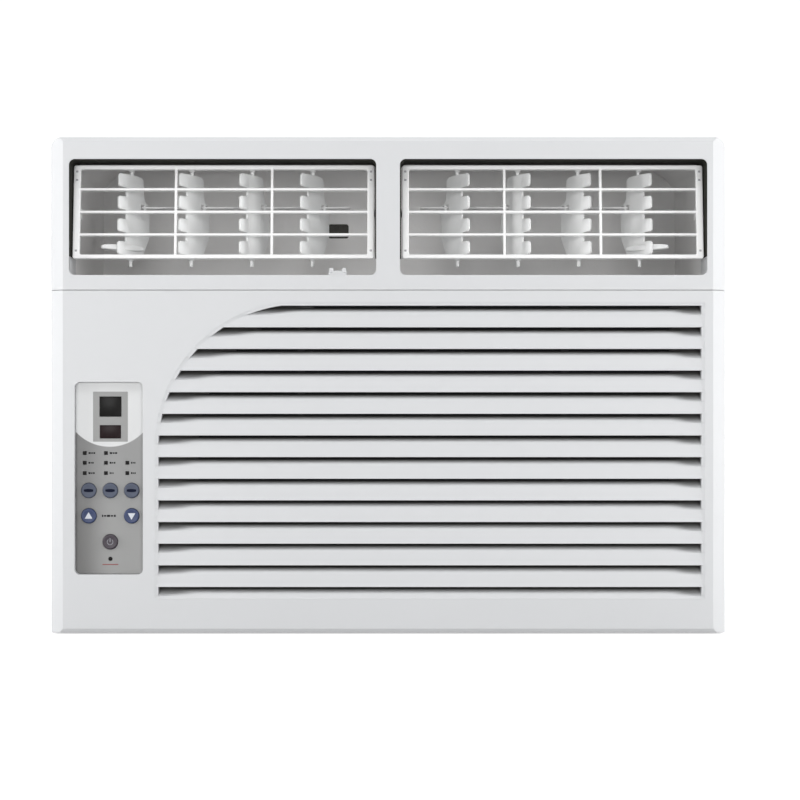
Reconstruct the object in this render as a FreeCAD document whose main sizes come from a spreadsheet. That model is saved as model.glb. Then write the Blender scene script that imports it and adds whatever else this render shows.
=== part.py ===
import FreeCAD, Part
import math
import os
import re
import Sketcher

# A compact window air conditioner, in millimetres.
# +X is the viewer's right, the front faces -Y, +Z is up.
# The origin is on the ground under the middle of the whole unit.

sizes = {
    # overall
    "front_w": 470, "front_tall": 345, "front_lift": 1, "depth": 400,
    "wall": 2.5, "sheet": 0.8, "fit": 0.3, "corner": 5, "front_deep": 45,
    "lap": 8,
    # intake door and its hinge
    "door_tall": 238.2, "seam": 0.6, "door_deep": 12, "hinge_in": 8,
    "hinge_up": 7.6, "hinge_x": 209, "hinge_pin": 2.5, "lug_w": 8,
    "ear": 3, "run": 0.05, "rail_in": 17,
    # intake slots
    "slot_pitch": 15.05, "slot_tall": 3.8, "slot_top": 227.7,
    "slot_right": 218, "bow_x": -60.4, "bow_z": 130.2, "bow_r": 99.5,
    # air outlets
    "outlet_w": 213.7, "outlet_tall": 80.7, "outlet_up": 248.9,
    "outlet_x": 115.1, "outlet_r": 4, "rim": 2.2, "rim_deep": 28,
    # tilting louvre frames
    "frame_side": 2.45, "frame_slack": 14.5, "frame_top": 3.5, "frame_in": 17,
    "frame_tilt": -6, "frame_front": 8, "frame_back": 10, "edge_bar": 2.8,
    "grid_bar": 1.7, "grid_deep": 4.5, "grid_inset": 1.8, "end_plate": 5.3,
    "post_x": 33.7, "stub": 2.5,
    # swinging vanes
    "vane_pitch": 42.7, "vane_shift": -2.3, "vane_back": 4, "vane_swing": 38,
    "vane_thick": 1.8, "vane_pin": 1.2, "vane_gap": 0.5, "vane_rear": 18,
    "tab_reach": 12, "pin_tail": 4, "crank": 13, "crank_pin": 1.1,
    "rod_up": 7, "rod_w": 5, "rod_thick": 2, "rod_tail": 18, "tongue_lean": 30, "notch": 7,
    "tongue_long": 21, "tongue_w": 8, "tongue_thick": 3, "tongue_up": 9.1,
    # control panel
    "panel_x": -194.2, "panel_z": 108.6, "panel_w": 47.5, "panel_tall": 133.8,
    "panel_gap": 0.6, "panel_in": 4.5, "panel_wall": 2.2, "button_r": 5.25,
    "button_gap": 0.2, "button_out": 1.6, "button_travel": 1,
    "board_in": 19, "board": 1.6, "switch": 5, "post_r": 2,
    "lens_gap": 0.1, "lamp": 2.4, "lamp_deep": 2.6,
    # filter
    "filter_left": -156, "filter_right": 219, "filter_low": 19,
    "filter_high": 234, "filter_in": 13, "filter_deep": 5, "filter_bar": 5,
    # fan train
    "axis_x": 50, "fan_lift": 18, "shaft_r": 4, "blower_r": 80,
    "blower_front": 84, "blower_deep": 60, "blade": 1.2, "scroll_r": 88,
    "scroll_step": 6, "scroll_front": 74, "scroll_deep": 80, "scroll_top": 245.7,
    "orifice_r": 66, "scroll_wall": 2.5, "motor_r": 46, "motor_deep": 64,
    "fan_r": 108, "fan_ring": 4, "fan_deep": 26, "hub_r": 25,
    # bulkhead, shroud and cabinet
    "wall_in": 158, "shroud_in": 312, "collar": 28, "pan_lip": 16,
    "pan_sheet": 1, "rear_flange": 8, "vent_long": 70, "vent_tall": 5,
    "vent_pitch": 16, "rail_hole": 2.2, "rail_span": 380, "side_span": 200,
    # coils
    "evap_left": -143, "evap_right": 210, "evap_in": 35, "evap_deep": 30,
    "evap_low": 25, "evap_tall": 210, "cond_left": -200, "cond_right": 208,
    "cond_in": 352, "cond_deep": 32, "cond_low": 12, "cond_tall": 308,
    "tube_r": 3.5, "tube_gap": 0.1, "tube_out": 3, "tube_stub": 8, "coil_plate": 1,
    # sealed system
    "comp_x": -150, "comp_y": 40, "comp_r": 56, "comp_low": 24,
    "comp_tall": 176, "ear_reach": 70, "ear_plate": 3, "grommet_r": 9,
    "stud_r": 3, "accu_x": -208, "accu_y": -12, "accu_r": 18,
    "accu_low": 62, "accu_tall": 108, "pipe_turn": 14, "tight_turn": 7, "discharge_rise": 17, "capillary_r": 1.2,
    "capillary_x": -220, "drier_r": 8, "drier_long": 60,
    # electrical box
    "box_left": -228, "box_right": -166, "box_in": 32, "box_deep": 108,
    "box_tall": 194, "capacitor_r": 19, "gland_r": 4.2, "gland_wall": 3,
    "gland_z": 60, "gland_in": 70, "drain_r": 7, "drain_tall": 5,
    # air plenum
    "plenum_in": 28.3, "plenum_wall": 3, "plenum_low": 246, "plenum_high": 334,
}

doc = FreeCAD.newDocument("window_air_conditioner")
sheet = doc.addObject("Spreadsheet::Sheet", "dims")
for row, (alias, number) in enumerate(sizes.items(), 1):
    sheet.set(f"A{row}", alias)
    sheet.set(f"B{row}", str(number))
    sheet.setAlias(f"B{row}", alias)
doc.recompute()

word = re.compile(r"[a-z_]+")
probe = doc.addObject("Part::Vertex", "probe")
pieces = {}

# planes and edges that many pieces share, as expressions of the sheet
face = "(-depth/2)"
rear = "(depth/2)"
half_w = "(front_w/2)"
front_top = "(front_lift + front_tall)"
door_top = "(front_lift + door_tall)"
fascia_low = f"({door_top} + seam)"
cab_half = "(front_w/2 - wall - fit)"
cab_top = f"({front_top} - wall - fit)"
cab_front = f"({face} + front_deep - lap)"
inner_half = f"({cab_half} - sheet - fit)"
inner_top = f"({cab_top} - sheet - fit)"
plate_half = f"({inner_half} - pan_sheet - fit/2)"
pan_front = f"({face} + rail_in + 5)"
hinge_y = f"({face} + hinge_in)"
hinge_z = "(front_lift + hinge_up)"
outlet_low = "(front_lift + outlet_up)"
outlet_high = f"({outlet_low} + outlet_tall)"
pivot_y = f"({face} + frame_in)"
frame_tall = "(outlet_tall - frame_slack)"
grid_pitch = f"(({frame_tall} - grid_inset)/4)"
pivot_z = f"({outlet_high} - frame_top - {frame_tall}/2)"
axis_z = "(fan_r + fan_ring + fan_lift)"
frame_half = "(outlet_w/2 - frame_side)"
wall_y = f"({face} + wall_in)"
shroud_y = f"({face} + shroud_in)"
panel_y = f"({face} + panel_in)"
board_y = f"({face} + board_in)"
slot_count = 14
blower_blades = 32
fan_blades = 5
evap_tubes = 10
cond_tubes = 14


def ref(text):
    """Put the sheet's name in front of every alias in an expression."""
    return word.sub(lambda m: "dims." + m.group(0) if m.group(0) in sizes else m.group(0), str(text))


def num(text):
    """The number that an expression of the sheet gives."""
    probe.setExpression("X", ref(text))
    probe.recompute()
    return probe.X.Value


def bind(item, **texts):
    for prop, text in texts.items():
        item.setExpression(prop, ref(text))
    return item


def place(item, x, y, z):
    for axis, text in zip("xyz", (x, y, z)):
        item.setExpression(f"Placement.Base.{axis}", ref(text))
    return item


def keep(name, item):
    """Give a finished sub-part its node name."""
    item.Label = name
    pieces[name] = item
    return item


# ---- Part primitives and booleans

def block(x, y, z, name="block"):
    """A box between two expressions on each axis."""
    item = doc.addObject("Part::Box", name)
    bind(item, Length=f"({x[1]}) - ({x[0]})", Width=f"({y[1]}) - ({y[0]})", Height=f"({z[1]}) - ({z[0]})")
    return place(item, x[0], y[0], z[0])


turns = {
    "x": FreeCAD.Rotation(FreeCAD.Vector(0, 1, 0), 90),
    "y": FreeCAD.Rotation(FreeCAD.Vector(1, 0, 0), -90),
    "z": FreeCAD.Rotation(),
}


def rod(axis, at, radius, length, name="rod"):
    """A cylinder that starts at a point and runs along +X, +Y or +Z."""
    item = doc.addObject("Part::Cylinder", name)
    bind(item, Radius=radius, Height=length)
    item.Placement = FreeCAD.Placement(FreeCAD.Vector(), turns[axis])
    return place(item, *at)


def fuse(items, name="fused"):
    item = doc.addObject("Part::MultiFuse", name)
    item.Shapes = items
    return item


def group(items, name="group"):
    item = doc.addObject("Part::Compound", name)
    item.Links = items
    return item


def cut(base, tools, name="cut"):
    item = doc.addObject("Part::Cut", name)
    item.Base = base
    item.Tool = tools[0] if len(tools) == 1 else fuse(tools)
    return item


def shell(x, y, z, wall, name="shell"):
    """A closed box with even walls."""
    inside = [(f"{low} + {wall}", f"{high} - {wall}") for low, high in (x, y, z)]
    return cut(block(x, y, z), [block(*inside)], name)


def solid(name, shape):
    """A sub-part whose shape is worked out below from the sheet."""
    item = doc.addObject("Part::Feature", name)
    item.Shape = shape
    return item


# ---- PartDesign bodies

def new_body(name):
    return keep(name, doc.addObject("PartDesign::Body", name))


def rect(u, v):
    return [(u[0], v[0]), (u[1], v[0]), (u[1], v[1]), (u[0], v[1])]


def centred(u, v, width, tall):
    return rect((f"{u} - ({width})/2", f"{u} + ({width})/2"), (f"{v} - ({tall})/2", f"{v} + ({tall})/2"))


# which way a sketch plane's normal points along the axis it is offset on
normals = {"XY": 1, "XZ": -1, "YZ": 1}


def sketch(body, plane, at, loops=(), circles=()):
    """A sketch of closed outlines and circles, each point bound to the sheet."""
    item = body.newObject("Sketcher::SketchObject", "sketch")
    base = [f for f in body.Origin.OriginFeatures if f.Role == plane + "_Plane"][0]
    item.AttachmentSupport = [(base, "")]
    item.MapMode = "FlatFace"
    item.setExpression("AttachmentOffset.Base.z", ref(f"{normals[plane]} * ({at})"))
    for points in loops:
        first = item.GeometryCount
        corners = [FreeCAD.Vector(num(u), num(v), 0) for u, v in points]
        for i, corner in enumerate(corners):
            item.addGeometry(Part.LineSegment(corner, corners[(i + 1) % len(corners)]))
        for i, (u, v) in enumerate(points):
            after = first + (i + 1) % len(points)
            item.addConstraint(Sketcher.Constraint("Coincident", first + i, 2, after, 1))
            pin(item, first + i, 1, u, v)
    for u, v, radius in circles:
        centre = FreeCAD.Vector(num(u), num(v), 0)
        index = item.addGeometry(Part.Circle(centre, FreeCAD.Vector(0, 0, 1), num(radius)))
        pin(item, index, 3, u, v)
        made = item.addConstraint(Sketcher.Constraint("Radius", index, num(radius)))
        item.setExpression(f"Constraints[{made}]", ref(radius))
    return item


def pin(item, index, point, u, v):
    """Tie one point of a sketch to its two expressions."""
    for kind, text in (("DistanceX", u), ("DistanceY", v)):
        made = item.addConstraint(Sketcher.Constraint(kind, -1, 1, index, point, num(text)))
        item.setExpression(f"Constraints[{made}]", ref(text))


def pad(body, plane, span, loops=(), circles=()):
    """Add material between the two ends of a span along the plane's normal."""
    at = span[1] if plane == "XZ" else span[0]
    profile = sketch(body, plane, at, loops, circles)
    item = body.newObject("PartDesign::Pad", "pad")
    item.Profile = profile
    item.AllowMultiFace = True
    return bind(item, Length=f"({span[1]}) - ({span[0]})")


def pocket(body, plane, span, loops=(), circles=()):
    """Take material away between the two ends of a span along the plane's normal."""
    at = span[0] if plane == "XZ" else span[1]
    profile = sketch(body, plane, at, loops, circles)
    item = body.newObject("PartDesign::Pocket", "pocket")
    item.Profile = profile
    item.AllowMultiFace = True
    return bind(item, Length=f"({span[1]}) - ({span[0]})")


def round_edges(body, radius, wanted):
    """Fillet the edges of the body's last feature that a test picks."""
    doc.recompute()
    base = body.Tip
    names = [f"Edge{i}" for i, edge in enumerate(base.Shape.Edges, 1) if wanted(edge)]
    item = body.newObject("PartDesign::Fillet", "fillet")
    item.Base = (base, names)
    return bind(item, Radius=radius)


def runs_along(edge, axis):
    step = edge.Vertexes[-1].Point - edge.Vertexes[0].Point
    return step.Length > 1e-6 and abs(abs(step[axis]) - step.Length) < 1e-6


def on_plane(edge, axis, text):
    return all(abs(v.Point[axis] - num(text)) < 1e-4 for v in edge.Vertexes)


# ---- front of the unit

def make_fascia():
    body = new_body("front_fascia")
    inside = ("-front_w/2 + wall", "front_w/2 - wall")
    pad(body, "XZ", (face, f"{face} + front_deep"), [rect((f"-{half_w}", half_w), ("front_lift", front_top))])
    round_edges(body, "corner", lambda e: on_plane(e, 1, face) and not on_plane(e, 2, "front_lift"))
    pocket(body, "XZ", (f"{face} + wall", f"{face} + front_deep"),
           [rect(inside, ("front_lift - 1", f"{front_top} - wall"))])
    pocket(body, "XZ", (f"{face} - 1", f"{face} + door_deep + fit"),
           [rect((f"-{half_w} - 1", f"{half_w} + 1"), ("front_lift - 1", fascia_low))])
    shelf = (fascia_low, f"{fascia_low} + wall")
    pad(body, "XZ", (f"{face} + wall/2", f"{face} + rim_deep"), [rect(inside, shelf)])
    outer = [centred(f"{side}*outlet_x", f"{outlet_low} + outlet_tall/2", "outlet_w + 2*rim", "outlet_tall + 2*rim")
             for side in (-1, 1)]
    pad(body, "XZ", (f"{face} + wall/2", f"{face} + rim_deep"), outer)
    inner = [centred(f"{side}*outlet_x", f"{outlet_low} + outlet_tall/2", "outlet_w", "outlet_tall")
             for side in (-1, 1)]
    pocket(body, "XZ", (f"{face} - 1", f"{face} + rim_deep + 1"), inner)
    round_edges(body, "outlet_r", lambda e: is_outlet_corner(e))
    reach = "(outlet_x + outlet_w/2 + rim + 1)"
    pocket(body, "YZ", (f"-{reach}", reach), circles=[(pivot_y, pivot_z, "stub + run")])
    pad(body, "XZ", (f"{face} + rail_in", f"{face} + rail_in + 4.5"), [rect(inside, ("front_lift", "front_lift + 8"))])
    pocket(body, "XZ", (f"{face} + door_deep - 1", f"{face} + rail_in"),
           [rect((f"-{half_w} - 1", f"{half_w} + 1"), ("front_lift - 1", f"{hinge_z} + 3"))])
    for side in (-1, 1):
        low, high = f"{side}*hinge_x - lug_w/2", f"{side}*hinge_x + lug_w/2"
        pad(body, "YZ", (low, high), [rect((hinge_y, f"{face} + rail_in + 4"), (f"{hinge_z} - 3.6", f"{hinge_z} + 3.6"))])
        pad(body, "YZ", (low, high), circles=[(hinge_y, hinge_z, "3.6")])
        pocket(body, "YZ", (low, high), circles=[(hinge_y, hinge_z, "hinge_pin + run")])
    pad(body, "XZ", (f"{face} + 2", f"{face} + 16"),
        [rect(("-41.4", "-28.8"), (f"{outlet_low} - rim/2", f"{outlet_low} + 3.2"))])


def is_outlet_corner(edge):
    if not runs_along(edge, 1):
        return False
    spot = edge.Vertexes[0].Point
    at_side = abs(abs(abs(spot.x) - num("outlet_x")) - num("outlet_w/2")) < 1e-4
    at_end = min(abs(spot.z - num(outlet_low)), abs(spot.z - num(outlet_high))) < 1e-4
    return at_side and at_end


def slot_height(index):
    """The middle of one intake slot."""
    return f"(front_lift + slot_top - slot_tall/2 - {index}*slot_pitch)"


def slot_left(index):
    """Slots end on a straight line that bends over into a circle."""
    return f"(bow_x - sqrt(bow_r^2 - max(0; {slot_height(index)} - bow_z)^2))"


def make_door():
    body = new_body("intake_door")
    back = f"{face} + door_deep"
    inside = ("-front_w/2 + wall", "front_w/2 - wall")
    pad(body, "XZ", (face, back), [rect((f"-{half_w}", half_w), ("front_lift", door_top))])
    round_edges(body, "corner", lambda e: on_plane(e, 1, face) and not on_plane(e, 2, door_top))
    pocket(body, "XZ", (f"{face} + wall", back), [rect(inside, ("front_lift + wall", f"{door_top} - wall"))])
    window = ("panel_x", "panel_z", "panel_w", "panel_tall")
    pad(body, "XZ", (f"{face} + wall/2", back), [centred(window[0], window[1], "panel_w + 2*rim", "panel_tall + 2*rim")])
    pocket(body, "XZ", (f"{face} - 1", f"{back} + 1"), [centred(*window)])
    slots = [rect((slot_left(i), "slot_right"), (f"{slot_height(i)} - slot_tall/2", f"{slot_height(i)} + slot_tall/2"))
             for i in range(slot_count)]
    pocket(body, "XZ", (f"{face} - 1", f"{face} + wall + 1"), slots)
    rails = ((f"filter_left - fit - 3", "filter_left - fit"), ("filter_right + fit", "filter_right + fit + 3"))
    lips = (("filter_left - fit - 3", "filter_left + 3"), ("filter_right - 3", "filter_right + fit + 3"))
    tall = ("filter_low", "filter_high")
    filter_back = f"{face} + filter_in + filter_deep + fit"
    pad(body, "XZ", (f"{face} + wall/2", filter_back), [rect(span, tall) for span in rails])
    pad(body, "XZ", (filter_back, f"{filter_back} + 2"), [rect(span, tall) for span in lips])
    pad(body, "XZ", (f"{face} + wall/2", f"{filter_back} + 2"),
        [rect(span, ("filter_low - fit - 3", "filter_low - fit")) for span in lips])
    for side in (-1, 1):
        middle = f"{side}*hinge_x"
        pocket(body, "XZ", (f"{face} + wall", f"{back} + 1"),
               [centred(middle, "front_lift", "lug_w + 2*fit", "2*wall + 2")])
        for way in (-1, 1):
            start = f"{middle} + {way}*(lug_w/2 + fit + ear/2)"
            span = (f"{start} - ear/2", f"{start} + ear/2")
            pad(body, "YZ", span, [rect((f"{face} + wall/2", f"{hinge_y} + 3"), ("front_lift + wall/2", f"{hinge_z} + 3"))])
        reach = "(lug_w/2 + fit + ear/2)"
        pad(body, "YZ", (f"{middle} - {reach}", f"{middle} + {reach}"), circles=[(hinge_y, hinge_z, "hinge_pin")])


def make_filter():
    span_x, span_z = ("filter_left", "filter_right"), ("filter_low", "filter_high")
    span_y = (f"{face} + filter_in", f"{face} + filter_in + filter_deep")
    body = new_body("filter_frame")
    pad(body, "XZ", span_y, [rect(span_x, span_z)])
    cells = []
    columns, rows = 4, 3
    wide = f"((filter_right - filter_left - filter_bar)/{columns})"
    tall = f"((filter_high - filter_low - filter_bar)/{rows})"
    for i in range(columns):
        for j in range(rows):
            u = f"filter_left + filter_bar/2 + {wide}*{i + 0.5}"
            v = f"filter_low + filter_bar/2 + {tall}*{j + 0.5}"
            cells.append(centred(u, v, f"{wide} - filter_bar", f"{tall} - filter_bar"))
    pocket(body, "XZ", (f"{span_y[0]} - 1", f"{span_y[1]} + 1"), cells)
    groove = (f"{span_y[0]} + 2", f"{span_y[0]} + 3")
    inset = "filter_bar - 1.5"
    net = (("filter_left + " + inset, "filter_right - (" + inset + ")"), ("filter_low + " + inset, "filter_high - (" + inset + ")"))
    pocket(body, "XZ", groove, [rect(*net)])
    screen = block((f"filter_left + {inset} + 0.2", f"filter_right - ({inset}) - 0.2"),
                   (f"{groove[0]} + 0.1", f"{groove[1]} - 0.1"),
                   (f"filter_low + {inset} + 0.2", f"filter_high - ({inset}) - 0.2"))
    keep("filter_mesh", screen)


# ---- air outlets

def vane_place(index):
    """Where a vane's pin stands across its frame."""
    return f"(vane_shift + {index - 1.5}*vane_pitch)"


def tilted(side):
    """The louvre frame's own placement: its pivot line, leaned by its tilt."""
    pivot = FreeCAD.Vector(num(f"{side}*outlet_x"), num(pivot_y), num(pivot_z))
    return FreeCAD.Placement(pivot, FreeCAD.Rotation(FreeCAD.Vector(1, 0, 0), num("frame_tilt")))


def make_louver_frame(name, side):
    body = new_body(name)
    front, back = "-frame_front", "frame_back"
    pad(body, "XZ", (front, back), [centred("0", "0", f"2*{frame_half}", frame_tall)])
    pocket(body, "XZ", (f"{front} - 1", f"{back} + 1"),
           [centred("0", "0", f"2*{frame_half} - 2*end_plate", f"{frame_tall} - 2*edge_bar")])
    grid = (front, f"{front} + grid_deep")
    bars = [centred("0", f"{i}*{grid_pitch}", f"2*{frame_half} - end_plate", "grid_bar") for i in (-1, 0, 1)]
    pad(body, "XZ", grid, bars)
    posts = [centred(f"{i}*post_x", "0", "grid_bar", f"{frame_tall} - edge_bar") for i in (-1, 1)]
    pad(body, "XZ", grid, posts)
    for way in (-1, 1):
        ends = sorted((f"{way}*({frame_half} - 1)", f"{way}*(outlet_w/2 + rim + 0.5)"), key=num)
        pad(body, "YZ", ends, circles=[("0", "0", "stub")])
    pins = [(vane_place(i), "vane_back", "vane_pin + run") for i in range(4)]
    pocket(body, "XY", (f"-{frame_tall}/2 - 1", f"{frame_tall}/2 + 1"), circles=pins)
    rivets = [(f"{way}*({frame_half} - end_plate/2)", v, "1") for way in (-1, 1)
              for v in (f"{frame_tall}/2 - 4", f"{frame_tall}/2 - 11", f"5 - {frame_tall}/2")]
    pocket(body, "XZ", (front, f"{front} + 1.5"), circles=rivets)
    body.Placement = tilted(side)


def vane_outline():
    """Side view of a vane: four tabs in front, a shaped trailing edge behind."""
    top = f"({frame_tall}/2 - edge_bar - vane_gap)"
    body_front = "(-vane_back - frame_front + grid_deep + vane_gap)"
    points = []
    for i in range(4):
        low = f"({i - 2}*{grid_pitch} + grid_bar/2 + 1)" if i else f"(-{top})"
        high = f"({i - 1}*{grid_pitch} - grid_bar/2 - 1)" if i < 3 else top
        points += [(body_front, low), ("-tab_reach", low), ("-tab_reach", high), (body_front, high)]
    notch_low, notch_high = "(rod_up - notch/2)", "(rod_up + notch/2)"
    notch_in = "(crank - rod_w/2 - 2)"
    points[0] = ("-tab_reach", f"-{top}")
    points[1] = ("-tab_reach", f"-{top} + 2")
    points[-1] = ("0", top)
    points[-2] = ("-tab_reach", f"{top}")
    points += [("vane_rear*0.55", top), ("vane_rear*0.8", f"{top}*0.7"), ("vane_rear", notch_high),
               (notch_in, notch_high), (notch_in, notch_low), ("vane_rear", notch_low),
               ("vane_rear", f"-{top}*0.45"), ("vane_rear*0.4", f"-{top}")]
    return points


def make_vane(name, side, index, leads):
    body = new_body(name)
    top = f"({frame_tall}/2 - edge_bar - vane_gap)"
    pad(body, "YZ", ("-vane_thick/2", "vane_thick/2"), [vane_outline()])
    pad(body, "XY", (f"-{top}", top), circles=[("0", "0", "vane_pin + 0.7")])
    pad(body, "XY", (f"-{frame_tall}/2 - pin_tail", f"{frame_tall}/2 - fit"), circles=[("0", "0", "vane_pin")])
    pad(body, "XY", ("rod_up - notch/2 - 0.5", "rod_up + notch/2 + 0.5"), circles=[("0", "crank", "crank_pin")])
    if leads:
        tongue_z = f"(tongue_up - {frame_tall}/2)"
        lean = math.radians(side * num("tongue_lean"))
        along = (math.sin(lean), -math.cos(lean))
        across = (-along[1] / 2, along[0] / 2)
        corners = [(0, 1), ("tongue_long", 1), ("tongue_long", -1), (0, -1)]
        points = [(f"{u}*{along[0]:.6f} + tongue_w*{w * across[0]:.6f}", f"{u}*{along[1]:.6f} + tongue_w*{w * across[1]:.6f}")
                  for u, w in corners]
        pad(body, "XY", (f"{tongue_z} - tongue_thick/2", f"{tongue_z} + tongue_thick/2"), [points])
    turn = FreeCAD.Rotation(FreeCAD.Vector(0, 0, 1), num(f"{side}*vane_swing"))
    spot = FreeCAD.Vector(num(vane_place(index)), num("vane_back"), 0)
    body.Placement = tilted(side).multiply(FreeCAD.Placement(spot, turn))


def make_link_rod(name, side):
    body = new_body(name)
    ends = ["rod_w/2 + 1", "rod_tail"] if side < 0 else ["rod_tail", "rod_w/2 + 1"]
    spans = (f"{vane_place(0)} - ({ends[0]})", f"{vane_place(3)} + {ends[1]}")
    pad(body, "XY", ("-rod_thick/2", "rod_thick/2"), [rect(spans, ("-rod_w/2", "rod_w/2"))])
    holes = [(vane_place(i), "0", "crank_pin + 2*run") for i in range(4)]
    pocket(body, "XY", ("-rod_thick/2 - 1", "rod_thick/2 + 1"), circles=holes)
    swing = math.radians(num(f"{side}*vane_swing"))
    crank = num("crank")
    spot = FreeCAD.Vector(-crank * math.sin(swing), num("vane_back") + crank * math.cos(swing), num("rod_up"))
    body.Placement = tilted(side).multiply(FreeCAD.Placement(spot, FreeCAD.Rotation()))


def make_outlet(word_side, side):
    make_louver_frame(f"{word_side}_louver_frame", side)
    leader = 0 if side < 0 else 3
    for index in range(4):
        make_vane(f"{word_side}_vane_{index + 1}", side, index, index == leader)
    make_link_rod(f"{word_side}_link_rod", side)


# ---- controls

buttons = {
    "mode_button": ("-14.5", "-8.7"), "fan_button": ("0.5", "-8.7"), "timer_button": ("15.4", "-8.7"),
    "up_button": ("-14.5", "-26.4"), "down_button": ("15.4", "-26.4"), "power_button": ("0.5", "-44.5"),
}
lamps = [("-17.4", "17.4"), ("-2.6", "17.4"), ("-17.4", "10.6"), ("-2.6", "10.6"), ("12.3", "10.6"),
         ("-17.4", "3.4"), ("-2.6", "3.4"), ("12.3", "3.4")]
display = ("0.55", "49.8", "15.1", "13.9")
sensor = ("0.5", "32.2", "14.6", "9.1")
power_lamp = ("0.5", "-56.4")


def on_panel(spot):
    return (f"(panel_x + {spot[0]})", f"(panel_z + {spot[1]})")


def make_panel():
    body = new_body("control_panel")
    wide, tall = "(panel_w - 2*panel_gap)", "(panel_tall - 2*panel_gap)"
    back = f"{face} + box_in - fit"
    pad(body, "XZ", (panel_y, back), [centred("panel_x", "panel_z", wide, tall)])
    round_edges(body, "3", lambda e: runs_along(e, 1))
    pocket(body, "XZ", (f"{panel_y} + panel_wall", back),
           [centred("panel_x", "panel_z", f"{wide} - 3", f"{tall} - 3")])
    through = (f"{panel_y} - 1", f"{panel_y} + panel_wall + 1")
    pocket(body, "XZ", through, circles=[(*on_panel(spot), "button_r + button_gap") for spot in buttons.values()])
    windows = [centred(*on_panel(spot), f"{spot[2]} + 2*lens_gap", f"{spot[3]} + 2*lens_gap")
               for spot in (display, sensor)]
    windows += [centred(*on_panel(spot), "lamp + 2*lens_gap", "lamp + 2*lens_gap") for spot in lamps]
    pocket(body, "XZ", through, windows)
    pocket(body, "XZ", through, circles=[(*on_panel(power_lamp), "lamp/2 + 0.2 + lens_gap")])
    posts = [(f"panel_x + {u}*(panel_w/2 - 6)", f"panel_z + {v}*(panel_tall/2 - 6)", "post_r")
             for u in (-1, 1) for v in (-1, 1)]
    pad(body, "XZ", (f"{panel_y} + panel_wall/2", board_y), circles=posts)


def make_lenses():
    span = (f"{panel_y} - 0.2", f"{panel_y} + lamp_deep")
    for name, spot in (("display_lens", display), ("ir_window", sensor)):
        u, v = on_panel(spot)
        keep(name, block((f"{u} - {spot[2]}/2", f"{u} + {spot[2]}/2"), span, (f"{v} - {spot[3]}/2", f"{v} + {spot[3]}/2")))
    dots = []
    for spot in lamps:
        u, v = on_panel(spot)
        dots.append(block((f"{u} - lamp/2", f"{u} + lamp/2"), span, (f"{v} - lamp/2", f"{v} + lamp/2")))
    u, v = on_panel(power_lamp)
    dots.append(rod("y", (u, span[0], v), "lamp/2 + 0.2", f"{span[1]} - ({span[0]})"))
    keep("indicator_lenses", group(dots))


def make_button(name, spot):
    u, v = on_panel(spot)
    body = new_body(name)
    flange = (f"{panel_y} + panel_wall + fit", f"{panel_y} + panel_wall + fit + 1.5")
    pad(body, "XZ", (f"{panel_y} - button_out", flange[0]), circles=[(u, v, "button_r")])
    round_edges(body, "0.6", lambda e: on_plane(e, 1, f"{panel_y} - button_out"))
    pad(body, "XZ", flange, circles=[(u, v, "button_r + 0.6")])
    pad(body, "XZ", (flange[1], f"{board_y} - switch - button_travel - fit"), circles=[(u, v, "post_r")])


def make_board():
    wide, tall = "(panel_w - 2*panel_gap - 5)", "(panel_tall - 2*panel_gap - 5)"
    plate = block((f"panel_x - {wide}/2", f"panel_x + {wide}/2"), (board_y, f"{board_y} + board"),
                  (f"panel_z - {tall}/2", f"panel_z + {tall}/2"))
    parts = [plate]
    for spot in buttons.values():
        u, v = on_panel(spot)
        parts.append(block((f"{u} - 3", f"{u} + 3"), (f"{board_y} - switch", board_y), (f"{v} - 3", f"{v} + 3")))
    for spot in (display, sensor):
        u, v = on_panel(spot)
        parts.append(block((f"{u} - {spot[2]}/2 + 1", f"{u} + {spot[2]}/2 - 1"), (f"{panel_y} + lamp_deep + 1", board_y),
                           (f"{v} - {spot[3]}/2 + 1", f"{v} + {spot[3]}/2 - 1")))
    keep("control_board", fuse(parts))


def make_electrical_box():
    span_y = (f"{face} + box_in", f"{face} + box_in + box_deep")
    span_z = ("pan_sheet", "pan_sheet + box_tall")
    hollow = shell(("box_left", "box_right"), span_y, span_z, "pan_sheet")
    mouth = block(("panel_x - panel_w/2 + 6", "panel_x + panel_w/2 - 6"), (f"{span_y[0]} - 1", f"{span_y[0]} + 2"),
                  ("panel_z - panel_tall/2 + 6", "panel_z + panel_tall/2 - 6"))
    keep("control_box", cut(hollow, [mouth]))
    floor = "(2*pan_sheet)"
    can = rod("z", ("panel_x", f"{span_y[1]} - 30", floor), "capacitor_r", "86")
    tabs = [block((f"panel_x + {u} - 3", f"panel_x + {u} + 3"), (f"{span_y[1]} - 30.4", f"{span_y[1]} - 29.6"),
                  (f"{floor} + 85", f"{floor} + 95")) for u in (-8, 8)]
    keep("capacitor", fuse([can] + tabs))
    core = block(("panel_x - 20", "panel_x + 20"), (f"{span_y[0]} + 14", f"{span_y[0]} + 32"), (floor, f"{floor} + 34"))
    coil = block(("panel_x - 12", "panel_x + 12"), (f"{span_y[0]} + 7", f"{span_y[0]} + 39"), (f"{floor} + 6", f"{floor} + 28"))
    keep("transformer", fuse([core, coil]))


# ---- coils

def coil_rows(coil_in, deep):
    """The two lines of tubes through a coil, a quarter in from each face."""
    return [f"({face} + {coil_in} + {deep}*{share})" for share in (0.25, 0.75)]


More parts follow.
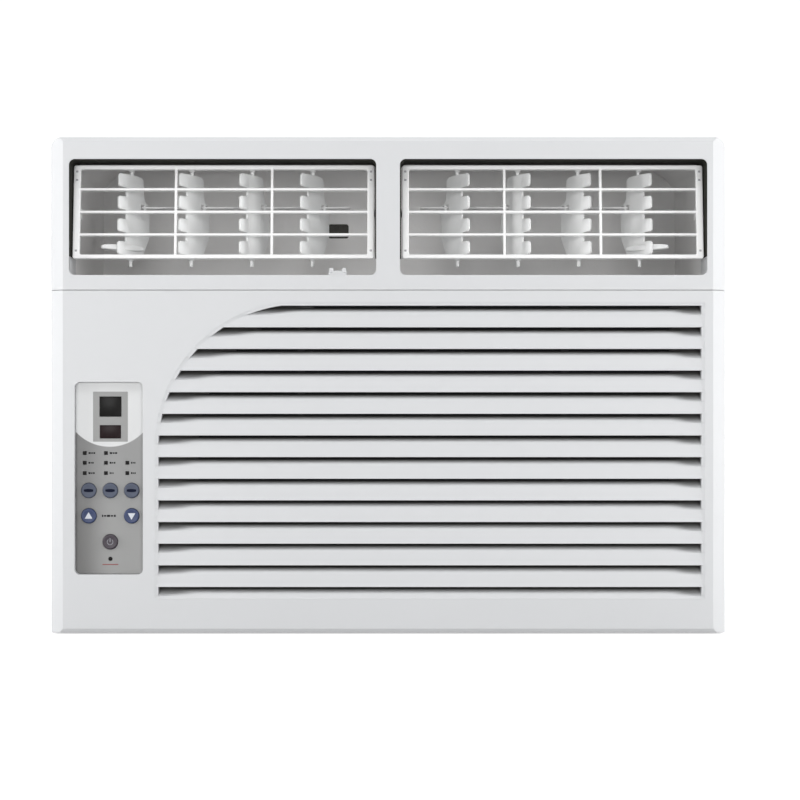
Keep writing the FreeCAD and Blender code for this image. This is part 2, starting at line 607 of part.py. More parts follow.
def bent(points, radius, turn):
    """A round tube along straight runs, with an arc of one radius at each corner."""
    spots = [FreeCAD.Vector(*point) for point in points]
    edges, start = [], spots[0]
    for before, here, after in zip(spots, spots[1:], spots[2:]):
        back, on = (before - here).normalize(), (after - here).normalize()
        half = back.getAngle(on) / 2
        reach = turn / math.tan(half)
        first, last = here + back * reach, here + on * reach
        middle = here + (back + on).normalize() * (turn / math.sin(half) - turn)
        if (first - start).Length > 1e-6:
            edges.append(Part.LineSegment(start, first).toShape())
        edges.append(Part.Arc(first, middle, last).toShape())
        start = last
    edges.append(Part.LineSegment(start, spots[-1]).toShape())
    path = Part.Wire(edges)
    ring = Part.Wire(Part.Circle(spots[0], spots[1] - spots[0], radius).toShape())
    return path.makePipeShell([ring], True, False)


def coil_tube(left, right, rows, low, count, pitch, turn_out):
    """One circuit: down the first row of tubes, across, and up the second."""
    points = []
    heights = [low + pitch * (i + 0.5) for i in range(count)]
    far, near = right + turn_out, left - turn_out
    for row, order in ((rows[0], heights[::-1]), (rows[1], heights)):
        for i, z in enumerate(order):
            ends = (near, far) if i % 2 == 0 else (far, near)
            points += [(ends[0], row, z), (ends[1], row, z)]
    stub = left - num("tube_stub")
    points[0] = (stub, rows[0], heights[-1])
    points[-1] = (stub, rows[1], heights[-1])
    return points


def make_coil(name, left, right, coil_in, deep, low, tall, count):
    pitch = f"({tall}/{count})"
    rows = coil_rows(coil_in, deep)
    span_y = (f"{face} + {coil_in}", f"{face} + {coil_in} + {deep}")
    holes = []
    for row in rows:
        for i in range(count):
            spot = (f"{left} - 5", row, f"{low} + {pitch}*{i + 0.5}")
            holes.append(rod("x", spot, "tube_r + tube_gap", f"{right} - {left} + 10"))
    drill = group(holes)
    fins = block((left, right), span_y, (low, f"{low} + {tall}"))
    keep(f"{name}_fins", cut(fins, [drill]))
    foot = "pan_sheet" if name == "condenser" else f"{low}"
    plates = []
    for edge in (f"({left} - fit - coil_plate)", f"({right} + fit)"):
        plate = block((edge, f"{edge} + coil_plate"), (f"{span_y[0]} - 1", f"{span_y[1]} + 1"), (foot, f"{low} + {tall}"))
        plates.append(cut(plate, [drill]))
    keep(f"{name}_end_plates", group(plates))
    step = num(pitch)
    points = coil_tube(num(left), num(right), [num(row) for row in rows], num(low), count, step, num("tube_out"))
    keep(f"{name}_tubes", solid(f"{name}_tubes", serpentine(points, num("tube_r"))))


def serpentine(points, radius):
    """A tube whose hairpins are half circles between neighbouring runs."""
    spots = [FreeCAD.Vector(*point) for point in points]
    edges = []
    for i in range(0, len(spots), 2):
        edges.append(Part.LineSegment(spots[i], spots[i + 1]).toShape())
        if i + 2 < len(spots):
            here, after = spots[i + 1], spots[i + 2]
            out = (here - spots[i]).normalize() * ((after - here).Length / 2)
            edges.append(Part.Arc(here, (here + after) / 2 + out, after).toShape())
    ring = Part.Wire(Part.Circle(spots[0], spots[1] - spots[0], radius).toShape())
    return Part.Wire(edges).makePipeShell([ring], True, False)


# ---- air path behind the evaporator

def make_tray():
    span_y = (f"{face} + evap_in - 8", f"{face} + evap_in + evap_deep + 5")
    tray = block(("evap_left - 8", "evap_right + 8"), span_y, ("pan_sheet", "evap_low - 0.01"))
    channel = block(("evap_left + 4", "evap_right - 4"), (f"{face} + evap_in + 6", f"{face} + evap_in + evap_deep - 6"),
                    ("evap_low - 12", "evap_low + 1"))
    keep("drain_tray", cut(tray, [channel]))


def make_plenum():
    span_x = ("-outlet_x - outlet_w/2 - plenum_wall", "outlet_x + outlet_w/2 + plenum_wall")
    span_y = (f"{face} + plenum_in", f"{wall_y} - fit")
    span_z = ("plenum_low", "plenum_high")
    hollow = shell(span_x, span_y, span_z, "plenum_wall")
    mouths = [block((f"{side}*outlet_x - outlet_w/2", f"{side}*outlet_x + outlet_w/2"),
                    (f"{span_y[0]} - 1", f"{span_y[0]} + plenum_wall + 1"), (outlet_low, outlet_high))
              for side in (-1, 1)]
    neck = block(("axis_x + 1", f"axis_x + scroll_step*3 + scroll_r"), (f"{face} + scroll_front + scroll_wall", f"{span_y[1]} - 8"),
                 ("plenum_low - 1", "plenum_low + plenum_wall + 1"))
    vent = block(("-41.4", "-27.8"), (f"{span_y[1]} - plenum_wall - 1", f"{span_y[1]} + 1"), ("275.6", "285.4"))
    keep("air_plenum", cut(hollow, mouths + [neck, vent]))


def scroll_outline(grow):
    """Quarter circles that widen by a step each, then a straight neck upwards."""
    x, z, step = num("axis_x"), num(axis_z), num("scroll_step")
    first, top, low = num("scroll_r") + grow, num("scroll_top"), math.sqrt(0.5)
    second, third = first + step, first + 2 * step
    lip = math.sqrt(first ** 2 - grow ** 2)
    at = lambda u, v: FreeCAD.Vector(u, 0, v)
    edges = [
        Part.Arc(at(x - grow, z + lip), at(x - first * low, z + first * low), at(x - first, z)).toShape(),
        Part.Arc(at(x - first, z), at(x + step - second * low, z - second * low), at(x + step, z - second)).toShape(),
        Part.Arc(at(x + step, z - second), at(x + step + third * low, z + step - third * low),
                 at(x + step + third, z + step)).toShape(),
        Part.LineSegment(at(x + step + third, z + step), at(x + step + third, top)).toShape(),
        Part.LineSegment(at(x + step + third, top), at(x - grow, top)).toShape(),
        Part.LineSegment(at(x - grow, top), at(x - grow, z + lip)).toShape(),
    ]
    return Part.Face(Part.Wire(edges))


def make_scroll():
    wall, front, deep = num("scroll_wall"), num(f"{face} + scroll_front"), num("scroll_deep")
    case = scroll_outline(wall).extrude(FreeCAD.Vector(0, deep, 0))
    hollow = scroll_outline(0).extrude(FreeCAD.Vector(0, deep - 2 * wall, 0))
    hollow.translate(FreeCAD.Vector(0, wall, 0))
    axis = FreeCAD.Vector(num("axis_x"), -1, num(axis_z))
    ahead = FreeCAD.Vector(0, 1, 0)
    inlet = Part.makeCylinder(num("orifice_r"), wall + 2, axis, ahead)
    passage = Part.makeCylinder(num("shaft_r") + 12, deep + 2, axis, ahead)
    case = case.cut([hollow, inlet, passage])
    case.translate(FreeCAD.Vector(0, front, 0))
    keep("scroll_housing", solid("scroll_housing", case))


def make_fans():
    x, z = num("axis_x"), num(axis_z)
    front, deep, radius = num(f"{face} + blower_front"), num("blower_deep"), num("blower_r")
    axis, ahead = FreeCAD.Vector(x, front, z), FreeCAD.Vector(0, 1, 0)
    bore = num("shaft_r") + 0.02
    plate = Part.makeCylinder(radius, 2, FreeCAD.Vector(x, front + deep - 2, z), ahead)
    hub = Part.makeCylinder(bore + 8, 22, FreeCAD.Vector(x, front + deep - 22, z), ahead)
    ring = Part.makeCylinder(radius, 4, axis, ahead).cut(Part.makeCylinder(radius - 9, 4, axis, ahead))
    blades = []
    thick = num("blade")
    inner, outer = radius - 10, radius - 1
    for i in range(blower_blades):
        blade = Part.makeBox(outer - inner, deep - 2, thick, FreeCAD.Vector(x + inner, front + 1, z - thick / 2))
        blade.rotate(FreeCAD.Vector(x + inner, front, z), ahead, 28)
        blade.rotate(axis, ahead, 360 * i / blower_blades)
        blades.append(blade)
    wheel = plate.fuse([hub, ring] + blades).cut(Part.makeCylinder(bore, deep + 2, axis - ahead, ahead))
    keep("blower_wheel", solid("blower_wheel", wheel))

    fan_y, fan_deep, fan_r = num(f"{shroud_y} - collar - 14"), num("fan_deep"), num("fan_r")
    middle = fan_y + fan_deep / 2
    hub = Part.makeCylinder(num("hub_r"), fan_deep, FreeCAD.Vector(x, fan_y, z), ahead)
    ring_r = fan_r + num("fan_ring")
    ring_at = FreeCAD.Vector(x, middle - 8, z)
    ring = Part.makeCylinder(ring_r, 16, ring_at, ahead).cut(Part.makeCylinder(fan_r - 1, 16, ring_at, ahead))
    blades = []
    for i in range(fan_blades):
        blade = Part.makeLoft([blade_section(num("hub_r") - 4, 30, 34), blade_section(fan_r, 62, 20)], True)
        blade.translate(FreeCAD.Vector(x, middle, z))
        blade.rotate(FreeCAD.Vector(x, middle, z), ahead, 360 * i / fan_blades)
        blades.append(blade)
    fan = hub.fuse([ring] + blades).cut(Part.makeCylinder(bore, fan_deep + 2, FreeCAD.Vector(x, fan_y - 1, z), ahead))
    keep("condenser_fan", solid("condenser_fan", fan))


def blade_section(radius, width, pitch_angle):
    """A thin slanted rectangle across a blade at one radius."""
    angle = math.radians(pitch_angle)
    along = FreeCAD.Vector(0, math.sin(angle), math.cos(angle)) * (width / 2)
    across = FreeCAD.Vector(0, math.cos(angle), -math.sin(angle)) * 1.1
    centre = FreeCAD.Vector(radius, 0, 0)
    corners = [centre + along + across, centre - along + across, centre - along - across, centre + along - across]
    return Part.makePolygon(corners + corners[:1])


def make_motor():
    x, z = "axis_x", axis_z
    start = f"({wall_y} + 6)"
    body = new_body("fan_motor")
    pad(body, "XZ", (start, f"{start} + motor_deep"), circles=[(x, z, "motor_r")])
    round_edges(body, "6", lambda e: not e.Length < 10)
    for low, high in ((f"{start} - 8", f"{start} + 1"), (f"{start} + motor_deep - 1", f"{start} + motor_deep + 8")):
        pad(body, "XZ", (low, high), circles=[(x, z, "shaft_r + 10")])
    pocket(body, "XZ", (f"{start} - 10", f"{start} + motor_deep + 10"), circles=[(x, z, "shaft_r + run")])
    shaft = rod("y", (x, f"{face} + blower_front + blower_deep - 30", z), "shaft_r",
                f"{shroud_y} - collar - 14 + fan_deep + 8 - ({face} + blower_front + blower_deep - 30)")
    keep("fan_shaft", shaft)
    cheek = "(motor_r + fit)"
    span_y = (f"{start} + 10", f"{start} + motor_deep - 10")
    plates = [block((f"axis_x - {cheek} - 3", f"axis_x + {cheek} + 3"), span_y, ("pan_sheet", "pan_sheet + 3"))]
    for way in (-1, 1):
        ends = sorted((f"axis_x + {way}*{cheek}", f"axis_x + {way}*({cheek} + 3)"), key=num)
        plates.append(block(ends, span_y, ("pan_sheet", f"{axis_z} + 10")))
    keep("motor_bracket", fuse(plates))


def make_walls():
    span_x = (f"-{plate_half}", plate_half)
    plate = block(span_x, (wall_y, f"{wall_y} + coil_plate"), ("pan_sheet", inner_top))
    bore = rod("y", ("axis_x", f"{wall_y} - 1", axis_z), "shaft_r + 16", "4")
    pipes = [rod("y", (x, f"{wall_y} - 1", z), "tube_r + 3", "4") for x, z in
             (("accu_x", evap_top_tube), ("capillary_x", evap_top_tube))]
    keep("bulkhead", cut(plate, [bore] + pipes))
    left, right = "(cond_left - fit)", plate_half
    sheet_front = block((left, right), (shroud_y, f"{shroud_y} + 2"), ("pan_sheet", inner_top))
    ring = rod("y", ("axis_x", f"{shroud_y} - collar", axis_z), "fan_r + fan_ring + 7", "collar + 1")
    hole = rod("y", ("axis_x", f"{shroud_y} - collar - 1", axis_z), "fan_r + fan_ring + 5", "collar + 10")
    back = (f"{shroud_y} + 1", f"{face} + cond_in - 1 - fit")
    sides = [block((left, f"{left} + 2"), back, ("pan_sheet", inner_top)),
             block((f"{right} - 2", right), back, ("pan_sheet", inner_top)),
             block((left, right), back, (f"{inner_top} - 2", inner_top))]
    keep("fan_shroud", cut(fuse([sheet_front, ring] + sides), [hole]))


evap_top_tube = f"(evap_low + evap_tall*{(evap_tubes - 0.5) / evap_tubes})"
cond_top_tube = f"(cond_low + cond_tall*{(cond_tubes - 0.5) / cond_tubes})"


# ---- sealed system

def stud_spots():
    spots = []
    for angle in (30, 150, 270):
        u, v = math.cos(math.radians(angle)), math.sin(math.radians(angle))
        spots.append((f"(comp_x + ear_reach*{u:.6f})", f"(comp_y + ear_reach*{v:.6f})"))
    return spots


def make_compressor():
    plate_low = "(comp_low - ear_plate)"
    can = rod("z", ("comp_x", "comp_y", "comp_low"), "comp_r", "comp_tall")
    can_round = doc.addObject("Part::Fillet", "can")
    doc.recompute()
    can_round.Base = can
    can_round.Edges = [(1, 24, 24), (3, 24, 24)]
    parts = [can_round, rod("z", ("comp_x", "comp_y", plate_low), "comp_r - 6", "ear_plate + 24")]
    for x, y in stud_spots():
        parts.append(rod("z", (x, y, plate_low), "grommet_r + 2", "ear_plate"))
        parts.append(block((f"min(comp_x; {x}) - 6", f"max(comp_x; {x}) + 6"), (f"min(comp_y; {y})", f"max(comp_y; {y})"),
                           (plate_low, "comp_low")))
    holes = [rod("z", (x, y, f"{plate_low} - 1"), "stud_r + 0.5", "ear_plate + 2") for x, y in stud_spots()]
    parts.append(rod("z", ("comp_x", "comp_y", "comp_low + comp_tall - 1"), "tube_r + 2", "8"))
    keep("compressor", cut(fuse(parts), holes))
    rubber, nuts = [], []
    for x, y in stud_spots():
        rubber.append(cut(rod("z", (x, y, "pan_sheet"), "grommet_r", f"{plate_low} - pan_sheet"),
                          [rod("z", (x, y, "0"), "stud_r + 0.1", "40")]))
        nuts.append(cut(hexagon(x, y, "comp_low", 5.5, 5), [rod("z", (x, y, "0"), "stud_r + 0.05", "60")]))
    keep("compressor_grommets", group(rubber))
    keep("compressor_nuts", group(nuts))
    accu = rod("z", ("accu_x", "accu_y", "accu_low"), "accu_r", "accu_tall")
    accu_round = doc.addObject("Part::Fillet", "accu")
    doc.recompute()
    accu_round.Base = accu
    accu_round.Edges = [(1, 8, 8), (3, 8, 8)]
    keep("accumulator", accu_round)
    cover = shell(("comp_x - 20", "comp_x + 20"), ("comp_y - comp_r - 14", "comp_y - comp_r + 2"),
                  ("comp_low + 90", "comp_low + 140"), "2")
    keep("terminal_cover", cut(cover, [rod("z", ("comp_x", "comp_y", "comp_low"), "comp_r + 0.1", "comp_tall")]))


def hexagon(x, y, z, across, tall):
    item = doc.addObject("Part::Prism", "hexagon")
    item.Polygon = 6
    bind(item, Circumradius=f"{across}/0.866", Height=tall)
    return place(item, x, y, z)


def make_pipes():
    turn, radius = num("pipe_turn"), num("tube_r")
    left = num("evap_left - tube_stub")
    rows = [num(row) for row in coil_rows("evap_in", "evap_deep")]
    z = num(evap_top_tube)
    x, y, top = num("accu_x"), num("accu_y"), num("accu_low + accu_tall")
    suction = bent([(left, rows[1], z), (x, rows[1], z), (x, y, z), (x, y, top)], radius, turn)
    keep("suction_pipe", solid("suction_pipe", suction))
    cond_left = num("cond_left - tube_stub")
    cond_rows = [num(row) for row in coil_rows("cond_in", "cond_deep")]
    high = num(cond_top_tube)
    comp = (num("comp_x"), num("comp_y"))
    start = num("comp_low + comp_tall + 7")
    side = cond_left - 11
    over = high + num("discharge_rise")
    discharge = bent([(*comp, start), (*comp, over), (side, comp[1] + 45, over), (side, cond_rows[1], over),
                      (side, cond_rows[1], high), (cond_left, cond_rows[1], high)], radius, num("tight_turn"))
    keep("discharge_pipe", solid("discharge_pipe", discharge))
    thin, at = num("capillary_r"), num("capillary_x")
    drier_y = cond_rows[0] - 60
    out = bent([(cond_left, cond_rows[0], high), (at, cond_rows[0], high), (at, drier_y, high)], 3, 6)
    drier = Part.makeCylinder(num("drier_r"), num("drier_long"), FreeCAD.Vector(at, drier_y - num("drier_long"), high),
                              FreeCAD.Vector(0, 1, 0))
    line = bent([(at, drier_y - num("drier_long") + 1, high), (at, drier_y - num("drier_long") - 20, high),
                 (at, drier_y - num("drier_long") - 20, z), (at, rows[0], z), (left, rows[0], z)], thin, 6)
    keep("capillary_tube", solid("capillary_tube", out.fuse([drier, line])))


# ---- cabinet

def make_pan():
    half, front, back = inner_half, pan_front, f"({rear} - 2*sheet)"
    outer = block((f"-{half}", half), (front, back), ("0", "pan_lip"))
    inner = block((f"-{half} + pan_sheet", f"{half} - pan_sheet"), (f"{front} + pan_sheet", f"{back} - pan_sheet"),
                  ("pan_sheet", "pan_lip + 1"))
    studs = [rod("z", (x, y, "pan_sheet/2"), "stud_r", "comp_low + 8 - pan_sheet/2") for x, y in stud_spots()]
    drain = ("axis_x + 120", f"{rear} - 30")
    collar = rod("z", (*drain, "0"), "drain_r + 2", "drain_tall")
    hole = rod("z", (*drain, "-1"), "drain_r", "drain_tall + 2")
    keep("base_pan", cut(fuse([cut(outer, [inner]), collar] + studs), [hole]))


def make_cabinet():
    half, top = cab_half, cab_top
    outer = block((f"-{half}", half), (cab_front, rear), ("front_lift + 1", top))
    inner = block((f"-{half} + sheet", f"{half} - sheet"), (f"{cab_front} - 1", f"{rear} - sheet"), ("0", f"{top} - sheet"))
    mouth = block((f"-{half} + rear_flange", f"{half} - rear_flange"), (f"{rear} - 5", f"{rear} + 1"),
                  ("0", f"{top} - rear_flange"))
    holes = []
    start = f"({wall_y} + 30)"
    for i in range(12):
        z = f"(70 + {i}*vent_pitch)"
        for way in (-1, 1):
            ends = sorted((f"{way}*({half} - 4)", f"{way}*({half} + 1)"), key=num)
            holes.append(block(ends, (start, f"{start} + vent_long"), (z, f"{z} + vent_tall")))
        x = f"({i - 5.5}*vent_pitch*1.6)"
        holes.append(block((f"{x} - vent_tall/2", f"{x} + vent_tall/2"), (start, f"{start} + vent_long"),
                           (f"{top} - 4", f"{top} + 1")))
    rail_y = f"({cab_front} + 60)"
    for way in (-1, 1):
        holes.append(rod("z", (f"{way}*rail_span/2", rail_y, f"{top} - 4"), "rail_hole", "6"))
        for z in (f"{axis_z} - side_span/2 + 30", f"{axis_z} + side_span/2 + 30"):
            start_x = f"{half} - 4" if way > 0 else f"-{half} - 1"
            holes.append(rod("x", (start_x, rail_y, z), "rail_hole", "5"))
    gland = rod("x", (f"{half} - 4", f"{face} + gland_in", "gland_z"), "gland_r + gland_wall + 0.1", "6")
    keep("cabinet_wrap", cut(cut(outer, [inner, mouth]), [group(holes), gland]))
    barrel = rod("x", (f"{half} - 6", f"{face} + gland_in", "gland_z"), "gland_r + gland_wall", "6 + 1.5")
    collar = rod("x", (f"{half} + 0.05", f"{face} + gland_in", "gland_z"), "gland_r + gland_wall + 2", "1.8")
    bore = rod("x", (f"{half} - 10", f"{face} + gland_in", "gland_z"), "gland_r", "20")
    keep("cord_gland", cut(fuse([barrel, collar]), [bore]))
    screws = []
    for way in (-1, 1):
        for y in (f"{wall_y} - 60", f"{wall_y} + 120", f"{rear} - 20"):
            start_x = f"{half} + 0.02" if way > 0 else f"-{half} - 1.82"
            screws.append(rod("x", (start_x, y, "pan_lip - 7"), "3.6", "1.8"))
    keep("cabinet_screws", group(screws))


def main():
    make_fascia()
    make_door()
    make_filter()
    make_outlet("left", -1)
    make_outlet("right", 1)
    make_panel()
    make_lenses()
    for name, spot in buttons.items():
        make_button(name, spot)
    make_board()
    make_electrical_box()
    make_coil("evaporator", "evap_left", "evap_right", "evap_in", "evap_deep", "evap_low", "evap_tall", evap_tubes)
    make_coil("condenser", "cond_left", "cond_right", "cond_in", "cond_deep", "cond_low", "cond_tall", cond_tubes)
    make_tray()
    make_plenum()
    make_scroll()
    make_fans()
    make_motor()
    make_walls()
    make_compressor()
    make_pipes()
    make_pan()
    make_cabinet()
    doc.recompute()
    check()
    os.makedirs("parts", exist_ok=True)
    for name, item in pieces.items():
        item.Shape.exportStep(f"parts/{name}.step")
    print(len(pieces), "sub-parts")


def check():
    """Stop before anything is written if a feature failed or a cut cut nothing."""
    for item in doc.Objects:
        if {"Invalid", "Error"} & set(item.State):
            raise RuntimeError(f"{item.Label} failed")
        if item.TypeId in ("PartDesign::Pocket", "PartDesign::Groove"):
            if item.Shape.Volume > item.BaseFeature.Shape.Volume - 1e-3:
                raise RuntimeError(f"{item.Name} in {item.getParentGeoFeatureGroup().Label} cuts nothing")
    for name, item in pieces.items():
        if item.Shape.isNull() or not item.Shape.isValid() or not item.Shape.Solids:
            raise RuntimeError(f"{name} has no valid shape")


main()
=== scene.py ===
import math

import bmesh
import bpy
from mathutils import Matrix, Vector


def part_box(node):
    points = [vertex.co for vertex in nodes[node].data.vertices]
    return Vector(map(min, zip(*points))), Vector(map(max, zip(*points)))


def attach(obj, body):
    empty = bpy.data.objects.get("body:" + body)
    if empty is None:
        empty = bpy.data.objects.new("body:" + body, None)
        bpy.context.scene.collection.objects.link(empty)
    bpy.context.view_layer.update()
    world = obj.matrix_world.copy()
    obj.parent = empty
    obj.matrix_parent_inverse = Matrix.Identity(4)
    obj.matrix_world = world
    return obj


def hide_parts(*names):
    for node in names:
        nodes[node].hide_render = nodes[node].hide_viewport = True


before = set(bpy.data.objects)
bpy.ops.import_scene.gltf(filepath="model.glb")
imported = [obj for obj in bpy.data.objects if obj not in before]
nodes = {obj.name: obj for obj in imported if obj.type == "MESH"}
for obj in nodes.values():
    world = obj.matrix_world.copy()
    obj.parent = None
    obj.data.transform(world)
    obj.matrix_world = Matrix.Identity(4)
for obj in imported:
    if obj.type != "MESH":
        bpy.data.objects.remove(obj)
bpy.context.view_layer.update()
mm = 0.001
print("frame loaded:", len(nodes), "nodes")


# ---- camera, floor and lights

studio = {
    "cameraAt": (8.3, -1513.0, 163.0), "lens": 85, "sensor": 36,
    "floorDeep": 2600, "floorFront": -7000, "floorWide": 9000, "sweep": 900, "wallTall": 2600,
    "floorWhite": 0.86, "floorBounce": 0.5, "floorGlow": 0.62, "skyWhite": (0.965, 0.98, 1.0), "skyStrength": 0.29,
            "skySeen": 1.1,
}


def setStudio():
    scene = bpy.context.scene
    camera = bpy.data.objects.new("camera", bpy.data.cameras.new("camera"))
    scene.collection.objects.link(camera)
    camera.data.lens = studio["lens"]
    camera.data.sensor_width = studio["sensor"]
    camera.data.clip_end = 50
    camera.location = Vector(studio["cameraAt"]) * mm
    camera.rotation_euler = (math.pi / 2, 0, 0)
    scene.camera = camera
    scene.view_settings.view_transform = "Standard"

    sweep = bmesh.new()      # floor that bends up into a back wall
    half = studio["floorWide"] / 2
    for x in (-half, half):
        sweep.verts.new((x, studio["floorFront"], 0))
    sweep.verts.ensure_lookup_table()
    edge = sweep.edges.new(sweep.verts[:])
    for step in [(0, studio["floorDeep"] - studio["floorFront"], 0), (0, 0, studio["wallTall"])]:
        grown = bmesh.ops.extrude_edge_only(sweep, edges=[edge])
        verts = [v for v in grown["geom"] if isinstance(v, bmesh.types.BMVert)]
        edge = [e for e in grown["geom"] if isinstance(e, bmesh.types.BMEdge) and all(v in verts for v in e.verts)][0]
        bmesh.ops.translate(sweep, verts=verts, vec=step)
    fold = [e for e in sweep.edges if len(e.link_faces) == 2]
    bmesh.ops.bevel(sweep, geom=fold, offset=studio["sweep"], segments=24, profile=0.5, affect="EDGES", material=-1)
    bmesh.ops.recalc_face_normals(sweep, faces=sweep.faces[:])
    bmesh.ops.scale(sweep, vec=(mm, mm, mm), verts=sweep.verts[:])
    mesh = bpy.data.meshes.new("studio_floor")
    sweep.to_mesh(mesh)
    sweep.free()
    mesh.polygons.foreach_set("use_smooth", [True] * len(mesh.polygons))
    floor = bpy.data.objects.new("studio_floor", mesh)
    scene.collection.objects.link(floor)
    paint = bpy.data.materials.new("floor_paint")
    paint.use_nodes = True
    shader = paint.node_tree.nodes["Principled BSDF"]
    shader.inputs["Roughness"].default_value = 0.75
    shader.inputs["Specular IOR Level"].default_value = 0.2
    shader.inputs["Emission Color"].default_value = (1, 1, 1, 1)
    seen = paint.node_tree.nodes.new("ShaderNodeLightPath")      # the floor is brighter to look at than the light it throws back
    glow = paint.node_tree.nodes.new("ShaderNodeMath")
    glow.operation = "MULTIPLY"
    glow.inputs[1].default_value = studio["floorGlow"]
    tint = paint.node_tree.nodes.new("ShaderNodeMix")
    tint.data_type = "RGBA"
    for socket, value in (("A", studio["floorBounce"]), ("B", studio["floorWhite"])):
        tint.inputs[socket].default_value = (value, value, value, 1)
    join = paint.node_tree.links.new
    join(seen.outputs["Is Camera Ray"], glow.inputs[0])
    join(seen.outputs["Is Camera Ray"], tint.inputs["Factor"])
    join(glow.outputs[0], shader.inputs["Emission Strength"])
    join(tint.outputs["Result"], shader.inputs["Base Color"])
    mesh.materials.append(paint)

    world = bpy.data.worlds.new("studio_sky")
    scene.world = world
    world.use_nodes = True
    sky = world.node_tree.nodes["Background"]
    sky.inputs["Color"].default_value = (*studio["skyWhite"], 1)
    look = world.node_tree.nodes.new("ShaderNodeLightPath")      # a plain white backdrop behind, a dimmer sky as light
    level = world.node_tree.nodes.new("ShaderNodeMapRange")
    level.inputs["To Min"].default_value = studio["skyStrength"]
    level.inputs["To Max"].default_value = studio["skySeen"]
    world.node_tree.links.new(look.outputs["Is Camera Ray"], level.inputs["Value"])
    world.node_tree.links.new(level.outputs["Result"], sky.inputs["Strength"])


lamps = [    # name, place, aim, width, height, watts
    ("front_left", (-820, -2400, 440), (-60, -200, 230), 700, 700, 11.5),
    ("front_right", (820, -2400, 440), (60, -200, 230), 700, 700, 11.5),
    ("top_soft", (40, -1000, 1500), (0, -200, 260), 1000, 500, 5),
    ("left_soft", (-1300, -430, 350), (0, -150, 180), 500, 900, 11),
    ("right_soft", (1300, -430, 350), (0, -150, 180), 500, 900, 11.4),
    ("over_soft", (0, 300, 1500), (0, 0, 200), 1400, 900, 10),
    ("back_soft", (0, 1900, 1350), (0, 200, 170), 1200, 700, 14),
]


def setLights():
    for name, place, aim, wide, tall, watts in lamps:
        light = bpy.data.lights.new(name, "AREA")
        light.shape = "RECTANGLE"
        light.size, light.size_y = wide * mm, tall * mm
        light.energy = watts
        lamp = bpy.data.objects.new(name, light)
        bpy.context.scene.collection.objects.link(lamp)
        lamp.location = Vector(place) * mm
        lamp.rotation_euler = (Vector(aim) - Vector(place)).to_track_quat("-Z", "Y").to_euler()


setStudio()
setLights()
print("studio ready")


# ---- finishes

def addNode(tree, kind, values=None, **settings):
    node = tree.nodes.new(kind)
    for key, value in settings.items():
        setattr(node, key, value)
    for key, value in (values or {}).items():
        node.inputs[key].default_value = value
    return node


def newGroup(name, inputs, outputs):
    group = bpy.data.node_groups.new(name, "ShaderNodeTree")
    for label, kind, start in inputs:
        made = group.interface.new_socket(name=label, in_out="INPUT", socket_type=kind)
        made.default_value = start
    for label, kind in outputs:
        group.interface.new_socket(name=label, in_out="OUTPUT", socket_type=kind)
    return group, group.nodes.new("NodeGroupInput"), group.nodes.new("NodeGroupOutput")


def makeGrain():
    group, given, result = newGroup("mouldGrain", [
        ("Scale", "NodeSocketFloat", 900.0), ("Blotch", "NodeSocketFloat", 9.0),
                ("Streak", "NodeSocketVector", (1, 1, 1)),
    ], [("Height", "NodeSocketFloat"), ("Tone", "NodeSocketFloat"), ("Speck", "NodeSocketFloat")])
    link = group.links.new
    spot = addNode(group, "ShaderNodeTexCoord")
    stretch = addNode(group, "ShaderNodeVectorMath", operation="MULTIPLY")
    link(spot.outputs["Object"], stretch.inputs[0])
    link(given.outputs["Streak"], stretch.inputs[1])
    fine = addNode(group, "ShaderNodeTexNoise", {"Detail": 3.0, "Roughness": 0.6})
    wide = addNode(group, "ShaderNodeTexNoise", {"Detail": 4.0, "Roughness": 0.55})
    speck = addNode(group, "ShaderNodeTexNoise", {"Detail": 1.0, "Scale": 260.0})
    for node, source in ((fine, "Scale"), (wide, "Blotch")):
        link(stretch.outputs[0], node.inputs["Vector"])
        link(given.outputs[source], node.inputs["Scale"])
    link(stretch.outputs[0], speck.inputs["Vector"])
    sharp = addNode(group, "ShaderNodeMapRange", {"From Min": 0.68, "From Max": 0.8})
    link(speck.outputs["Fac"], sharp.inputs["Value"])
    link(fine.outputs["Fac"], result.inputs["Height"])
    link(wide.outputs["Fac"], result.inputs["Tone"])
    link(sharp.outputs["Result"], result.inputs["Speck"])
    return group


